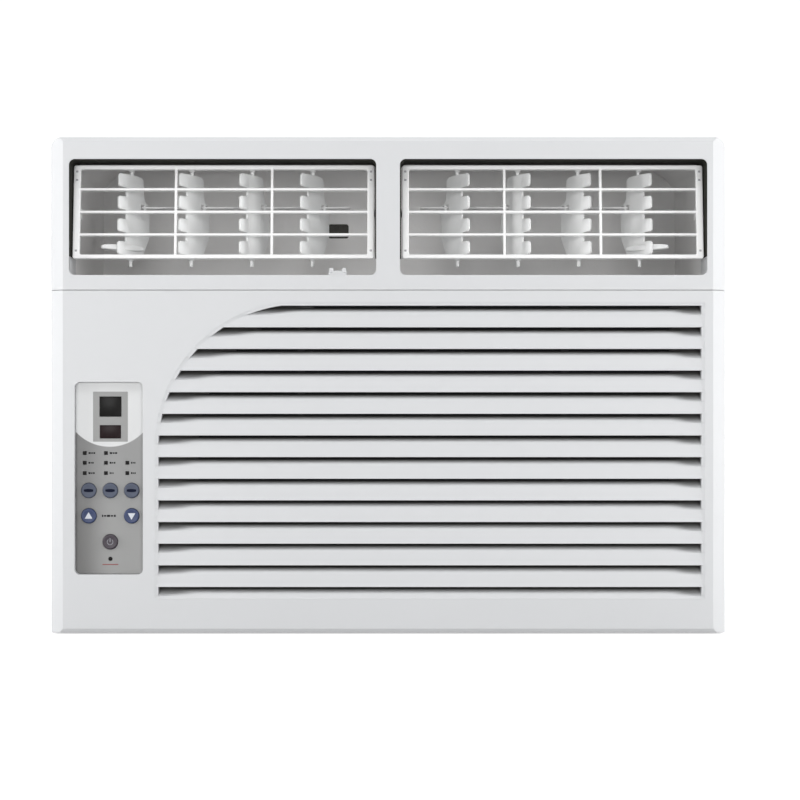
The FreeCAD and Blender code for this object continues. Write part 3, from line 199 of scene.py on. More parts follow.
def makeDust():
    group, given, result = newGroup("settledDust", [
        ("Color", "NodeSocketColor", (1, 1, 1, 1)), ("Amount", "NodeSocketFloat", 0.2),
                ("Rough", "NodeSocketFloat", 0.5),
    ], [("Color", "NodeSocketColor"), ("Rough", "NodeSocketFloat")])
    link = group.links.new
    spot = addNode(group, "ShaderNodeTexCoord")
    shape = addNode(group, "ShaderNodeNewGeometry")
    split = addNode(group, "ShaderNodeSeparateXYZ")
    link(shape.outputs["Normal"], split.inputs[0])
    upward = addNode(group, "ShaderNodeMapRange", {"From Min": 0.25, "From Max": 0.95})
    link(split.outputs["Z"], upward.inputs["Value"])
    cloud = addNode(group, "ShaderNodeTexNoise", {"Scale": 34.0, "Detail": 5.0, "Roughness": 0.65})
    link(spot.outputs["Object"], cloud.inputs["Vector"])
    patch = addNode(group, "ShaderNodeMapRange", {"From Min": 0.3, "From Max": 0.75})
    link(cloud.outputs["Fac"], patch.inputs["Value"])
    both = addNode(group, "ShaderNodeMath", operation="MULTIPLY")
    link(upward.outputs["Result"], both.inputs[0])
    link(patch.outputs["Result"], both.inputs[1])
    share = addNode(group, "ShaderNodeMath", operation="MULTIPLY")
    link(both.outputs[0], share.inputs[0])
    link(given.outputs["Amount"], share.inputs[1])
    cover = addNode(group, "ShaderNodeMix", data_type="RGBA")
    link(share.outputs[0], cover.inputs["Factor"])
    link(given.outputs["Color"], cover.inputs["A"])
    cover.inputs["B"].default_value = (0.36, 0.33, 0.29, 1)
    rough = addNode(group, "ShaderNodeMix", data_type="FLOAT")
    link(share.outputs[0], rough.inputs["Factor"])
    link(given.outputs["Rough"], rough.inputs["A"])
    rough.inputs["B"].default_value = 0.9
    link(cover.outputs["Result"], result.inputs["Color"])
    link(rough.outputs["Result"], result.inputs["Rough"])
    return group


grainGroup = makeGrain()
dustGroup = makeDust()


def makeFinish(name, colour, rough, metal=0.0, shift=0.06, grain=900.0, bump=0.12, blotch=9.0, dust=0.0,
               streak=(1, 1, 1), coat=0.0, shine=0.5, speck=0.0, second=None, build=None):
    paint = bpy.data.materials.new(name)
    paint.use_nodes = True
    tree = paint.node_tree
    link = tree.links.new
    shader = tree.nodes["Principled BSDF"]
    shader.inputs["Metallic"].default_value = metal
    shader.inputs["Coat Weight"].default_value = coat
    shader.inputs["Coat Roughness"].default_value = 0.12
    shader.inputs["Specular IOR Level"].default_value = shine
    marks = addNode(tree, "ShaderNodeGroup", node_tree=grainGroup)
    marks.inputs["Scale"].default_value = grain
    marks.inputs["Blotch"].default_value = blotch
    marks.inputs["Streak"].default_value = streak
    other = second or [channel * (1 - 2 * shift) for channel in colour]
    blend = addNode(tree, "ShaderNodeMix", data_type="RGBA")
    blend.inputs["A"].default_value = (*other, 1)
    blend.inputs["B"].default_value = (*colour, 1)
    spread = addNode(tree, "ShaderNodeMapRange", {"From Min": 0.3, "From Max": 0.7})
    link(marks.outputs["Tone"], spread.inputs["Value"])
    link(spread.outputs["Result"], blend.inputs["Factor"])
    shade = blend.outputs["Result"]
    if speck:
        dots = addNode(tree, "ShaderNodeMix", data_type="RGBA")
        dots.inputs["B"].default_value = (*[channel * (1 - speck) for channel in colour], 1)
        link(marks.outputs["Speck"], dots.inputs["Factor"])
        link(shade, dots.inputs["A"])
        shade = dots.outputs["Result"]
    roughness = addNode(tree, "ShaderNodeMapRange", {"To Min": rough * 0.85, "To Max": min(1.0, rough * 1.15)})
    link(marks.outputs["Height"], roughness.inputs["Value"])
    height = marks.outputs["Height"]
    if build:
        shade, height = build(tree, link, shade, height, shader)
    film = addNode(tree, "ShaderNodeGroup", node_tree=dustGroup)
    film.inputs["Amount"].default_value = dust
    link(shade, film.inputs["Color"])
    link(roughness.outputs["Result"], film.inputs["Rough"])
    link(film.outputs["Color"], shader.inputs["Base Color"])
    link(film.outputs["Rough"], shader.inputs["Roughness"])
    raised = addNode(tree, "ShaderNodeBump", {"Strength": bump, "Distance": 0.0004})
    link(height, raised.inputs["Height"])
    link(raised.outputs["Normal"], shader.inputs["Normal"])
    return paint


def splitPlace(tree, link):
    spot = addNode(tree, "ShaderNodeTexCoord")
    split = addNode(tree, "ShaderNodeSeparateXYZ")
    link(spot.outputs["Object"], split.inputs[0])
    return spot, split


def ramp(tree, link, source, low, high, kind="SMOOTHSTEP"):
    made = addNode(tree, "ShaderNodeMapRange", {"From Min": low, "From Max": high}, interpolation_type=kind)
    link(source, made.inputs["Value"])
    return made.outputs["Result"]


def maths(tree, link, operation, first, second=None):
    made = addNode(tree, "ShaderNodeMath", operation=operation)
    for socket, value in zip(made.inputs, (first, second)):
        if value is None:
            continue
        if isinstance(value, (int, float)):
            socket.default_value = value
        else:
            link(value, socket)
    return made.outputs[0]


def mixColour(tree, link, factor, first, second):
    made = addNode(tree, "ShaderNodeMix", data_type="RGBA")
    link(factor, made.inputs["Factor"])
    for socket, value in ((made.inputs["A"], first), (made.inputs["B"], second)):
        if isinstance(value, tuple):
            socket.default_value = (*value, 1)
        else:
            link(value, socket)
    return made.outputs["Result"]


weave = {"pitch": 1.6, "thread": 0.35}


def weaveNet(tree, link, shade, height, shader):
    split = splitPlace(tree, link)[1]
    lines = []
    for axis in "XZ":
        turn = maths(tree, link, "MULTIPLY", split.outputs[axis], 2 * math.pi / (weave["pitch"] * mm))
        wave = maths(tree, link, "SINE", turn)
        lines.append(ramp(tree, link, wave, 1 - 2 * weave["thread"], 1.0))
    thread = maths(tree, link, "MAXIMUM", *lines)
    return mixColour(tree, link, thread, (0.006, 0.006, 0.007), (0.05, 0.052, 0.056)), thread


def spangle(tree, link, shade, height, shader):
    spot = splitPlace(tree, link)[0]
    crystal = addNode(tree, "ShaderNodeTexVoronoi", {"Scale": 110.0, "Randomness": 1.0})
    link(spot.outputs["Object"], crystal.inputs["Vector"])
    tone = ramp(tree, link, crystal.outputs["Color"], 0.1, 0.9, "LINEAR")
    soft = maths(tree, link, "MULTIPLY", tone, 0.45)
    return mixColour(tree, link, soft, shade, (0.78, 0.8, 0.82)), height


def finStripes(tree, link, shade, height, shader):
    split = splitPlace(tree, link)[1]
    wave = maths(tree, link, "SINE", maths(tree, link, "MULTIPLY", split.outputs["Z"], 2 * math.pi / 0.003))
    return shade, maths(tree, link, "ADD", height, maths(tree, link, "MULTIPLY", wave, 1.5))


# painted shade: depths where the slot darkening starts and ends, and its dark colour
slotShade = {"from": -198.5, "to": -191.5, "colour": (0.085, 0.083, 0.08)}


def paintSlotShade(tree, link, shade, height, shader):      # painted shade: the colour darkens with depth into the slots, standing in for the shade under each blade
    split = splitPlace(tree, link)[1]
    deep = ramp(tree, link, split.outputs["Y"], slotShade["from"] * mm, slotShade["to"] * mm)
    return mixColour(tree, link, deep, shade, slotShade["colour"]), height


panelLook = {
    "x": -194.2, "z": 108.6, "arcLow": 130.4, "arcR": 32.0, "arcEdge": 0.25,
    "silver": (0.72, 0.725, 0.725), "metal": (0.33, 0.33, 0.325), "metalDark": (0.155, 0.153, 0.15),
            "dark": (0.24, 0.24, 0.242),
    "well": (0.32, 0.32, 0.315),
    "wellLeft": -205.8, "wellRight": -181.5, "wellLow": 133.9, "wellHigh": 168.8, "wellR": 0.5,
}


def panelZones(tree, link, shade, height, shader):
    look = panelLook
    split = splitPlace(tree, link)[1]
    x, z = split.outputs["X"], split.outputs["Z"]
    centre = (look["arcLow"] + look["arcR"]) * mm
    sideways = maths(tree, link, "SUBTRACT", x, look["x"] * mm)
    above = maths(tree, link, "SUBTRACT", z, centre)
    away = maths(tree, link, "SQRT", maths(tree, link, "ADD", maths(tree, link, "POWER", sideways, 2.0),
            maths(tree, link, "POWER", above, 2.0)))
    inArc = ramp(tree, link, away, (look["arcR"] + look["arcEdge"]) * mm, (look["arcR"] - look["arcEdge"]) * mm,
            "LINEAR")
    overArc = ramp(tree, link, z, centre - 0.2 * mm, centre + 0.2 * mm, "LINEAR")
    upper = maths(tree, link, "MAXIMUM", inArc, overArc)
    across = ramp(tree, link, x, (look["x"] - 26) * mm, (look["x"] + 4) * mm)
    down = ramp(tree, link, z, 60 * mm, 118 * mm)
    lit = mixColour(tree, link, across, look["metalDark"], look["metal"])
    lit = mixColour(tree, link, maths(tree, link, "MULTIPLY", down, 0.35), lit, look["dark"])
    midX = (look["wellLeft"] + look["wellRight"]) / 2 * mm
    midZ = (look["wellLow"] + look["wellHigh"]) / 2 * mm
    halfX = (look["wellRight"] - look["wellLeft"]) / 2 * mm
    halfZ = (look["wellHigh"] - look["wellLow"]) / 2 * mm
    reach = look["wellR"] * mm
    offX = maths(tree, link, "MAXIMUM", maths(tree, link, "SUBTRACT",
            maths(tree, link, "ABSOLUTE", maths(tree, link, "SUBTRACT", x, midX)), halfX - reach), 0.0)
    offZ = maths(tree, link, "MAXIMUM", maths(tree, link, "SUBTRACT",
            maths(tree, link, "ABSOLUTE", maths(tree, link, "SUBTRACT", z, midZ)), halfZ - reach), 0.0)
    corner = maths(tree, link, "SQRT", maths(tree, link, "ADD", maths(tree, link, "POWER", offX, 2.0),
            maths(tree, link, "POWER", offZ, 2.0)))
    well = ramp(tree, link, corner, reach + 0.15 * mm, reach - 0.15 * mm, "LINEAR")
    colour = mixColour(tree, link, upper, lit, look["silver"])
    colour = mixColour(tree, link, well, colour, look["well"])
    step = maths(tree, link, "SUBTRACT", maths(tree, link, "MULTIPLY", upper, 4.0),
            maths(tree, link, "MULTIPLY", well, 4.0))
    return colour, maths(tree, link, "ADD", height, step)


whites = {"front": (0.655, 0.662, 0.672), "louver": (0.93, 0.93, 0.925)}
finishes = {}


def addFinish(name, colour, rough, **settings):
    finishes[name] = makeFinish(name, colour, rough, **settings)


addFinish("front_plastic", whites["front"], 0.42, shift=0.008, grain=1500.0, bump=0.05, blotch=5.0, dust=0.05,
        speck=0.02)
addFinish("louver_plastic", whites["louver"], 0.38, shift=0.01, grain=1500.0, bump=0.05, blotch=12.0, dust=0.06)
addFinish("panel_plastic", (0.4, 0.4, 0.4), 0.38, metal=0.0, grain=2600.0, bump=0.05, build=panelZones)
addFinish("dark_lens", (0.008, 0.0075, 0.007), 0.34, shift=0.2, grain=300.0, bump=0.01, shine=0.16)
addFinish("lamp_lens", (0.008, 0.007, 0.007), 0.45, shift=0.1, grain=1800.0, bump=0.05, shine=0.2)
addFinish("button_plastic", (0.075, 0.09, 0.135), 0.5, shift=0.05, grain=2200.0, bump=0.08)
addFinish("filter_plastic", (0.03, 0.031, 0.033), 0.55, grain=1300.0, bump=0.15, dust=0.25)
addFinish("filter_net", (0.02, 0.021, 0.022), 0.8, grain=2600.0, bump=0.5, build=weaveNet)
addFinish("board", (0.03, 0.16, 0.07), 0.4, grain=700.0, bump=0.2, second=(0.02, 0.10, 0.05), blotch=60.0)
addFinish("galvanised", (0.5, 0.52, 0.54), 0.42, metal=0.85, shift=0.12, grain=600.0, bump=0.08, blotch=25.0,
        dust=0.3, build=spangle)
addFinish("capacitor_can", (0.62, 0.63, 0.64), 0.3, metal=1.0, grain=500.0, bump=0.08, streak=(1, 1, 0.06))
addFinish("transformer_core", (0.12, 0.11, 0.1), 0.5, metal=0.7, grain=900.0, bump=0.3, streak=(1, 1, 5))
addFinish("fin_aluminium", (0.80, 0.81, 0.82), 0.38, metal=0.4, shift=0.08, grain=900.0, bump=0.3, dust=0.15,
        build=finStripes)
addFinish("copper", (0.72, 0.30, 0.16), 0.34, metal=1.0, shift=0.2, grain=420.0, bump=0.1, blotch=40.0,
        second=(0.36, 0.15, 0.09))
addFinish("foam", (0.93, 0.922, 0.915), 0.85, shift=0.03, grain=520.0, bump=0.4, blotch=16.0, dust=0.1)
addFinish("black_plastic", (0.018, 0.018, 0.019), 0.5, shift=0.1, grain=1100.0, bump=0.25, dust=0.2)
addFinish("motor_steel", (0.34, 0.35, 0.36), 0.35, metal=0.9, grain=500.0, bump=0.1, streak=(1, 0.1, 1), dust=0.2)
addFinish("bright_steel", (0.62, 0.62, 0.61), 0.28, metal=1.0, shift=0.1, grain=900.0, bump=0.12)
addFinish("black_paint", (0.012, 0.012, 0.013), 0.3, shift=0.2, grain=420.0, bump=0.22, dust=0.35, coat=0.2)
addFinish("rubber", (0.02, 0.02, 0.02), 0.8, shift=0.1, grain=1300.0, bump=0.35, dust=0.15)
addFinish("cabinet_paint", (0.60, 0.605, 0.60), 0.48, shift=0.03, grain=1000.0, bump=0.22, blotch=6.0, dust=0.12,
        speck=0.05)
addFinish("rivet", (0.50, 0.50, 0.515), 0.5, metal=0.1, shift=0.1, grain=1400.0, bump=0.1)
addFinish("navy_print", (0.006, 0.009, 0.026), 0.6, shift=0.1, grain=2600.0, bump=0.1, shine=0.1)
addFinish("dark_print", (0.014, 0.014, 0.016), 0.6, shift=0.1, grain=2600.0, bump=0.1, shine=0.1)
addFinish("red_print", (0.30, 0.10, 0.095), 0.5, shift=0.1, grain=2600.0, bump=0.1)
addFinish("white_print", (0.68, 0.71, 0.76), 0.5, shift=0.05, grain=2600.0, bump=0.1)
addFinish("grey_print", (0.34, 0.34, 0.37), 0.5, shift=0.05, grain=2600.0, bump=0.1)
addFinish("navy_button", (0.035, 0.055, 0.14), 0.4, shift=0.08, grain=2200.0, bump=0.08)
addFinish("power_button", (0.055, 0.043, 0.056), 0.4, shift=0.08, grain=2200.0, bump=0.08)
addFinish("ir_lens", (0.017, 0.008, 0.009), 0.34, shift=0.15, grain=300.0, bump=0.01, shine=0.16)
# painted shade: this blade finish darkens with depth into the slots
addFinish("blade_plastic", whites["front"], 0.42, shift=0.008, grain=1500.0, bump=0.05, blotch=5.0, dust=0.05,
        speck=0.02, build=paintSlotShade)
addFinish("vent_dark", (0.075, 0.072, 0.064), 0.7, shift=0.1, grain=900.0, bump=0.1)
# painted shade: a greyer copy of the louvre white, standing in for the shade the bars and lips cast on the vanes
addFinish("vane_plastic", (0.79, 0.795, 0.79), 0.42, shift=0.01, grain=1500.0, bump=0.05, blotch=12.0, dust=0.06)
# painted shade: a greyer copy of the louvre white, standing in for the shade on the link rods behind the vanes
addFinish("link_plastic", (0.74, 0.74, 0.735), 0.5, shift=0.02, grain=1500.0, bump=0.06, blotch=12.0, dust=0.08)
# painted shade: near-black finish for the strip that stands in for the shade inside the outlet throats
addFinish("dark_shade_strip", (0.032, 0.032, 0.026), 0.95, shift=0.15, grain=900.0, bump=0.5, shine=0.1)
for name, node in nodes.items():
    slotName = node.data.materials[0].name.split(".")[0] if node.data.materials else ""
    finish = finishes.get(slotName)
    if finish is None:
        print("no finish for", name, slotName)
        continue
    for i in range(len(node.data.materials)):
        node.data.materials[i] = finish
print("finishes ready:", len(finishes))


# ---- making and placing pieces, in millimetres

def box(bm, x, y, z):
    verts = bmesh.ops.create_cube(bm, size=1)["verts"]
    bmesh.ops.scale(bm, vec=(x[1] - x[0], y[1] - y[0], z[1] - z[0]), verts=verts)
    bmesh.ops.translate(bm, vec=((x[0] + x[1]) / 2, (y[0] + y[1]) / 2, (z[0] + z[1]) / 2), verts=verts)
    return verts


def centredSpan(middle, width):
    return (middle - width / 2, middle + width / 2)


def edgesOf(verts, test=None):
    inside = set(verts)
    found = {e for v in verts for e in v.link_edges if all(w in inside for w in e.verts)}
    return [e for e in found if test is None or test(e)]


def runs(edge, axis):
    step = (edge.verts[1].co - edge.verts[0].co)
    return step.length > 1e-6 and abs(abs(step[axis]) - step.length) < 1e-4


def roundOff(bm, edges, size, segments=3):
    if edges:
        bmesh.ops.bevel(bm, geom=edges, offset=size, segments=segments, profile=0.5, affect="EDGES", material=-1,
                clamp_overlap=True)


def softBox(bm, x, y, z, size=0.4, segments=2):
    verts = box(bm, x, y, z)
    roundOff(bm, edgesOf(verts), size, segments)


def rod(bm, axis, at, radius, length, segments=24, tip=None, size=0.0):
    made = bmesh.ops.create_cone(bm, cap_ends=True, segments=segments, radius1=radius,
                                 radius2=radius if tip is None else tip, depth=length)["verts"]
    bmesh.ops.translate(bm, vec=(0, 0, length / 2), verts=made)
    turn = {"x": Matrix.Rotation(math.pi / 2, 3, "Y"), "y": Matrix.Rotation(-math.pi / 2, 3, "X"),
            "z": Matrix.Identity(3)}[axis]
    bmesh.ops.rotate(bm, cent=(0, 0, 0), matrix=turn, verts=made)
    bmesh.ops.translate(bm, vec=at, verts=made)
    if size:
        caps = [f for f in {f for v in made for f in v.link_faces} if len(f.verts) > 4]
        roundOff(bm, list({e for f in caps for e in f.edges}), size, 2)
    return made


def roundedPlate(bm, x, z, radius, y, segments=6):
    corners = [bm.verts.new((u, y[0], v)) for u, v in ((x[0], z[0]), (x[1], z[0]), (x[1], z[1]), (x[0], z[1]))]
    face = bm.faces.new(corners)
    grown = bmesh.ops.extrude_face_region(bm, geom=[face])
    moved = [v for v in grown["geom"] if isinstance(v, bmesh.types.BMVert)]
    bmesh.ops.translate(bm, vec=(0, y[1] - y[0], 0), verts=moved)
    every = corners + moved
    roundOff(bm, edgesOf(every, lambda e: runs(e, 1)), radius, segments)
    faces = list({f for v in every if v.is_valid for f in v.link_faces})
    bmesh.ops.recalc_face_normals(bm, faces=bm.faces[:])
    return faces


def meshPiece(name, bm, finish, smooth=35):
    bmesh.ops.scale(bm, vec=(mm, mm, mm), verts=bm.verts[:])
    mesh = bpy.data.meshes.new(name)
    bm.to_mesh(mesh)
    bm.free()
    piece = bpy.data.objects.new(name, mesh)
    bpy.context.scene.collection.objects.link(piece)
    mesh.materials.append(finishes[finish])
    if smooth:
        mesh.polygons.foreach_set("use_smooth", [True] * len(mesh.polygons))
        mesh.set_sharp_from_angle(angle=math.radians(smooth))
    return piece


def addBevel(piece, width, segments=2, angle=40):
    made = piece.modifiers.new("soft_edges", "BEVEL")
    made.width = width * mm
    made.segments = segments
    made.limit_method = "ANGLE"
    made.angle_limit = math.radians(angle)
    made.harden_normals = True
    made.use_clamp_overlap = True
    return made


def applyAll(piece, smooth=35):
    bpy.context.view_layer.update()
    graph = bpy.context.evaluated_depsgraph_get()
    mesh = bpy.data.meshes.new_from_object(piece.evaluated_get(graph))
    old = piece.data
    piece.modifiers.clear()
    piece.data = mesh
    bpy.data.meshes.remove(old)
    if smooth:
        mesh.polygons.foreach_set("use_smooth", [True] * len(mesh.polygons))
        mesh.set_sharp_from_angle(angle=math.radians(smooth))


def carve(piece, cutters):
    for cutter in cutters:
        made = piece.modifiers.new("carve", "BOOLEAN")
        made.operation = "DIFFERENCE"
        made.solver = "EXACT"
        made.object = cutter
    applyAll(piece)
    for cutter in cutters:
        bpy.data.objects.remove(cutter)


def joinInto(piece, others):
    whole = bmesh.new()
    whole.from_mesh(piece.data)
    for other in others:
        whole.from_mesh(other.data)
        bpy.data.objects.remove(other)
    whole.to_mesh(piece.data)
    whole.free()


def evenNormals(piece, angle=38):
    piece.data.set_sharp_from_angle(angle=math.radians(angle))
    made = piece.modifiers.new("even_normals", "WEIGHTED_NORMAL")
    made.keep_sharp = True
    made.weight = 60
    return piece


def place(piece, body, slotName, *replaced):
    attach(piece, body)
    if replaced:
        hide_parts(*replaced)
    return piece


def cutterFrom(build):
    bm = bmesh.new()
    build(bm)
    bmesh.ops.recalc_face_normals(bm, faces=bm.faces[:])
    return meshPiece("cutter", bm, "front_plastic", 0)


# ---- intake door

hinge = {"x": 209.0, "y": -192.0, "z": 8.6, "pin": 2.5, "lug": 8.0, "lugR": 3.6, "gap": 0.3, "ear": 3.0}
door = {
    "half": 235.0, "low": 1.0, "high": 239.35, "front": -200.0, "back": -188.0, "wall": 2.5,
    "sideRoll": 9.0, "rollDeep": 4.6, "lowRoll": 3.0,
    "bowX": -60.4, "bowZ": 130.2, "bowR": 99.5, "rim": 2.2,
    "slotTop": 228.7, "slotPitch": 15.05, "slotTall": 3.8, "slotRight": 218.0, "slots": 14,
    "flare": 2.3, "flareLeft": 34.0, "flareRight": 27.0, "fieldLow": 25.0, "fieldHigh": 230.7,
    "window": (-217.95, -170.45, 41.7, 175.5), "windowRound": 3.6, "windowWall": 2.2,
}


def bowLeft(z, grow=0.0):
    reach = door["bowR"] + grow
    return door["bowX"] - math.sqrt(max(0.0, reach ** 2 - max(0.0, z - door["bowZ"]) ** 2))


def smoothStep(t):
    t = min(1.0, max(0.0, t))
    return t * t * (3 - 2 * t)


def curveThrough(points, t):
    for (a, low), (b, high) in zip(points, points[1:]):
        if t <= b:
            return low + (high - low) * smoothStep((t - a) / (b - a)) if t > a else low
    return points[-1][1]


bladeFace = [(0.0, 1.25), (0.14, 1.0), (0.4, 0.75), (0.72, 0.6), (0.88, 0.48), (0.97, 0.06), (1.0, 0.0)]
slotFall = [(0.0, 11.5), (1.2, 11.0), (1.6, 9.2), (2.2, 6.6), (2.9, 4.5), (3.6, 3.1), (4.3, 2.2), (5.0, 1.65),
        (5.8, 1.25)]
deepest = 11.0


def straightThrough(points, t):
    for (a, low), (b, high) in zip(points, points[1:]):
        if t <= b:
            return low + (high - low) * (t - a) / (b - a)
    return points[-1][1]


def fieldDepth(fall, endShare):
    lip = slotFall[-1][0] + 0.7 * endShare
    if fall >= lip:
        return curveThrough(bladeFace, (fall - lip) / (door["slotPitch"] - lip))
    t = (lip - fall) / lip
    middle = straightThrough(slotFall, fall * slotFall[-1][0] / lip)
    end = bladeFace[0][1] + 9.3 * t ** 0.9
    return min(deepest, middle + (end - middle) * smoothStep(endShare * 1.35 - 0.05))


def makeField():
    falls = [0.0, 0.06, 0.6, 1.2, 1.6, 1.9, 2.2, 2.55, 2.9, 3.25, 3.6, 3.95, 4.3, 4.7, 5.2, 5.8, 6.5, 7.2, 8.2, 9.6,
            11.0, 12.2, 13.0, 13.6, 14.1, 14.5, 14.8]
    rows = [(door["fieldHigh"], None), (door["slotTop"] + 0.9, None)]
    for i in range(door["slots"]):
        rows += [(door["slotTop"] - i * door["slotPitch"] - fall, fall) for fall in falls]
    bottom = door["slotTop"] - door["slots"] * door["slotPitch"] + 6
    rows = [row for row in rows if row[0] > bottom] + [(door["fieldLow"], None)]
    left = [0, 0.9, 1.7, 2.2, 2.28, 3.4, 5, 7, 9, 11, 13, 15, 17, 19, 21, 23, 25, 27, 29, 31, 33, 35, 37, 40]
    right = [0, 0.9, 1.7, 2.2, 2.28, 3.4, 5, 7, 9, 11, 13, 15, 17, 19, 21, 23, 25, 27, 29, 31]
    middle = 9
    columns = len(left) + middle + len(right)
    bm = bmesh.new()
    bmesh.ops.create_grid(bm, x_segments=columns - 1, y_segments=len(rows) - 1, size=1)
    bm.verts.ensure_lookup_table()
    for j, (z, fall) in enumerate(rows):
        edge = bowLeft(z, door["rim"])
        slotEdge = bowLeft(z)
        gap = slotEdge - edge
        for i in range(columns):
            vert = bm.verts[j * columns + i]
            outer = door["slotRight"] + door["rim"]
            if i < len(left):
                x = edge + left[i] * (gap / door["rim"] if left[i] <= 2.3 else 1) + (gap - door["rim"] if left[i] > 2.3 else 0)
                inside = i > 3
                share = 1 - smoothStep((x - slotEdge) / door["flareLeft"])
            elif i < len(left) + middle:
                start = slotEdge + left[-1] - door["rim"]
                end = outer - right[-1]
                x = start + (end - start) * (i - len(left) + 1) / (middle + 1)
                inside, share = True, 0.0
            else:
                k = columns - 1 - i
                x = outer - right[k]
                inside = k > 3
                share = 1 - smoothStep((right[k] - door["rim"]) / door["flareRight"])
            nearest = min(left[i] if i < len(left) else 99, right[columns - 1 - i] if i >= len(left) + middle else 99)
            if fall is None:
                depth = 0.35 if z > door["slotTop"] + 0.5 else 0.3
            elif inside:
                depth = fieldDepth(fall, share)
            elif fall < door["slotTall"] + door["flare"]:
                depth = 0.3
            else:
                depth = 0.3 + (min(0.9, fieldDepth(fall, 1.0)) - 0.3) * smoothStep(nearest / 2.2)
            if fall == 0.0 and not inside:
                depth = 0.3
            elif fall == 0.0:
                depth = 0.0
            vert.co = (x, door["front"] + depth, z)
    deep = [f for f in bm.faces if min(v.co.y for v in f.verts) > door["front"] + deepest - 0.2]
    bmesh.ops.delete(bm, geom=deep, context="FACES")
    bmesh.ops.recalc_face_normals(bm, faces=bm.faces[:])
    bm.faces.ensure_lookup_table()
    if sum(f.normal.y for f in bm.faces) > 0:
        bmesh.ops.reverse_faces(bm, faces=bm.faces[:])
    piece = meshPiece("intake_blades", bm, "blade_plastic", 0)
    wall = piece.modifiers.new("blade_wall", "SOLIDIFY")
    wall.thickness = 1.1 * mm
    wall.offset = -1
    applyAll(piece, 40)
    for vert in piece.data.vertices:
        vert.co.y = max(vert.co.y, door["front"] * mm)
    return piece


def rolledBox(bm, x, y, z, roll, top, bottom, lip):
    stretch = roll[0] / roll[1]
    verts = box(bm, x, (y[0], y[0] + (y[1] - y[0]) * stretch), z)
    atFront = lambda e: all(abs(v.co.y - y[0]) < 1e-4 for v in e.verts)
    roundOff(bm, edgesOf(verts, lambda e: runs(e, 2) and atFront(e)), roll[0], 1)
    for level, size in ((z[1], top), (z[0], bottom)):
        if size:
            flat = [e for e in bm.edges if all(abs(v.co.z - level) < 1e-4 for v in e.verts) and any(v.co.y < y[0] + 1e-3 for v in e.verts)
                    and (atFront(e) or abs(e.verts[0].co.x - e.verts[1].co.x) > 1)]
            roundOff(bm, [e for e in flat if atFront(e)], size, 1)
    for v in bm.verts:
        v.co.y = y[0] + (v.co.y - y[0]) / stretch
    sharp = [e for e in bm.edges if e.calc_face_angle(0) > 0.3 and all(v.co.y < y[1] - 0.5 for v in e.verts)]
    roundOff(bm, sharp, lip, 3)


def doorBlank(bm, inset, backY):
    x = (-door["half"] + inset, door["half"] - inset)
    y = (door["front"] + inset, backY)
    z = (door["low"] + inset, door["high"] - inset)
    rolledBox(bm, x, y, z, (door["sideRoll"], door["rollDeep"]), 0.6 if inset == 0 else 0, door["lowRoll"],
            1.4 if inset == 0 else 0.5)


def makeDoor():
    bm = bmesh.new()
    doorBlank(bm, 0, door["back"])
    shellPiece = meshPiece("intake_door_shell", bm, "front_plastic")
    left, right, low, high = door["window"]
    rim, wallY = door["windowWall"], (door["front"] - 1, door["back"] + 1)
    hole = (door["bowX"], door["slotRight"] + door["rim"])
    cutters = [
        cutterFrom(lambda b: doorBlank(b, door["wall"], door["back"] + 1)),
        cutterFrom(lambda b: roundedPlate(b, (left, right), (low, high), door["windowRound"], wallY)),
        cutterFrom(lambda b: box(b, (door["bowX"] - door["bowR"] - door["rim"], hole[1]), wallY,
                (door["fieldLow"], door["bowZ"]))),
        cutterFrom(lambda b: box(b, hole, wallY, (door["bowZ"] - 1, door["fieldHigh"]))),
    ]

    def bow(b):
        rod(b, "y", (door["bowX"], wallY[0], door["bowZ"]), door["bowR"] + door["rim"], wallY[1] - wallY[0], 144)
        cut = bmesh.ops.bisect_plane(b, geom=b.verts[:] + b.edges[:] + b.faces[:], plane_co=(0, 0, door["fieldHigh"]),
                plane_no=(0, 0, 1), clear_outer=True)
        bmesh.ops.contextual_create(b, geom=[e for e in cut["geom_cut"] if isinstance(e, bmesh.types.BMEdge)])

    cutters.append(cutterFrom(bow))
    carve(shellPiece, cutters)

    bm = bmesh.new()
    roundedPlate(bm, (left - rim, right + rim), (low - rim, high + rim), door["windowRound"] + rim,
            (door["front"] + 1.2, door["back"]))
    tube = meshPiece("window_wall", bm, "front_plastic")
    carve(tube, [cutterFrom(lambda b: roundedPlate(b, (left, right), (low, high), door["windowRound"], wallY))])

    bm = bmesh.new()      # filter rails and hinge ears on the back
    rails = {"left": -156.0, "right": 219.0, "low": 19.0, "high": 234.0, "fit": 0.3, "front": -187.8, "back": -181.7}
    for side, edge in ((-1, rails["left"]), (1, rails["right"])):
        near, far = edge + side * rails["fit"], edge + side * (rails["fit"] + 3)
        softBox(bm, sorted((near, far)), (rails["front"], rails["back"]), (rails["low"], rails["high"]), 0.3)
        softBox(bm, sorted((edge - side * 3, far)), (rails["back"], rails["back"] + 2), (rails["low"], rails["high"]),
                0.4)
        softBox(bm, sorted((edge - side * 3, far)), (rails["front"], rails["back"] + 2),
                (rails["low"] - 3.3, rails["low"] - 0.3), 0.3)
    for side in (-1, 1):
        middle = side * hinge["x"]
        reach = hinge["lug"] / 2 + hinge["gap"] + hinge["ear"]
        for way in (-1, 1):
            start = middle + way * (hinge["lug"] / 2 + hinge["gap"])
            softBox(bm, sorted((start, start + way * hinge["ear"])), (door["front"] + 1.4, hinge["y"] + 3),
                    (2.3, hinge["z"] + 3), 0.6)
        rod(bm, "x", (middle - reach, hinge["y"], hinge["z"]), hinge["pin"], 2 * reach, 20, size=0.3)
    extras = meshPiece("door_extras", bm, "front_plastic")
    addBevel(shellPiece, 0.35, 2, 50)
    applyAll(shellPiece)
    joinInto(shellPiece, [tube, extras])
    place(evenNormals(shellPiece), "door", "front_plastic", "intake_door")
    place(makeField(), "door", "front_plastic")


makeDoor()
print("intake door ready")


# ---- front fascia

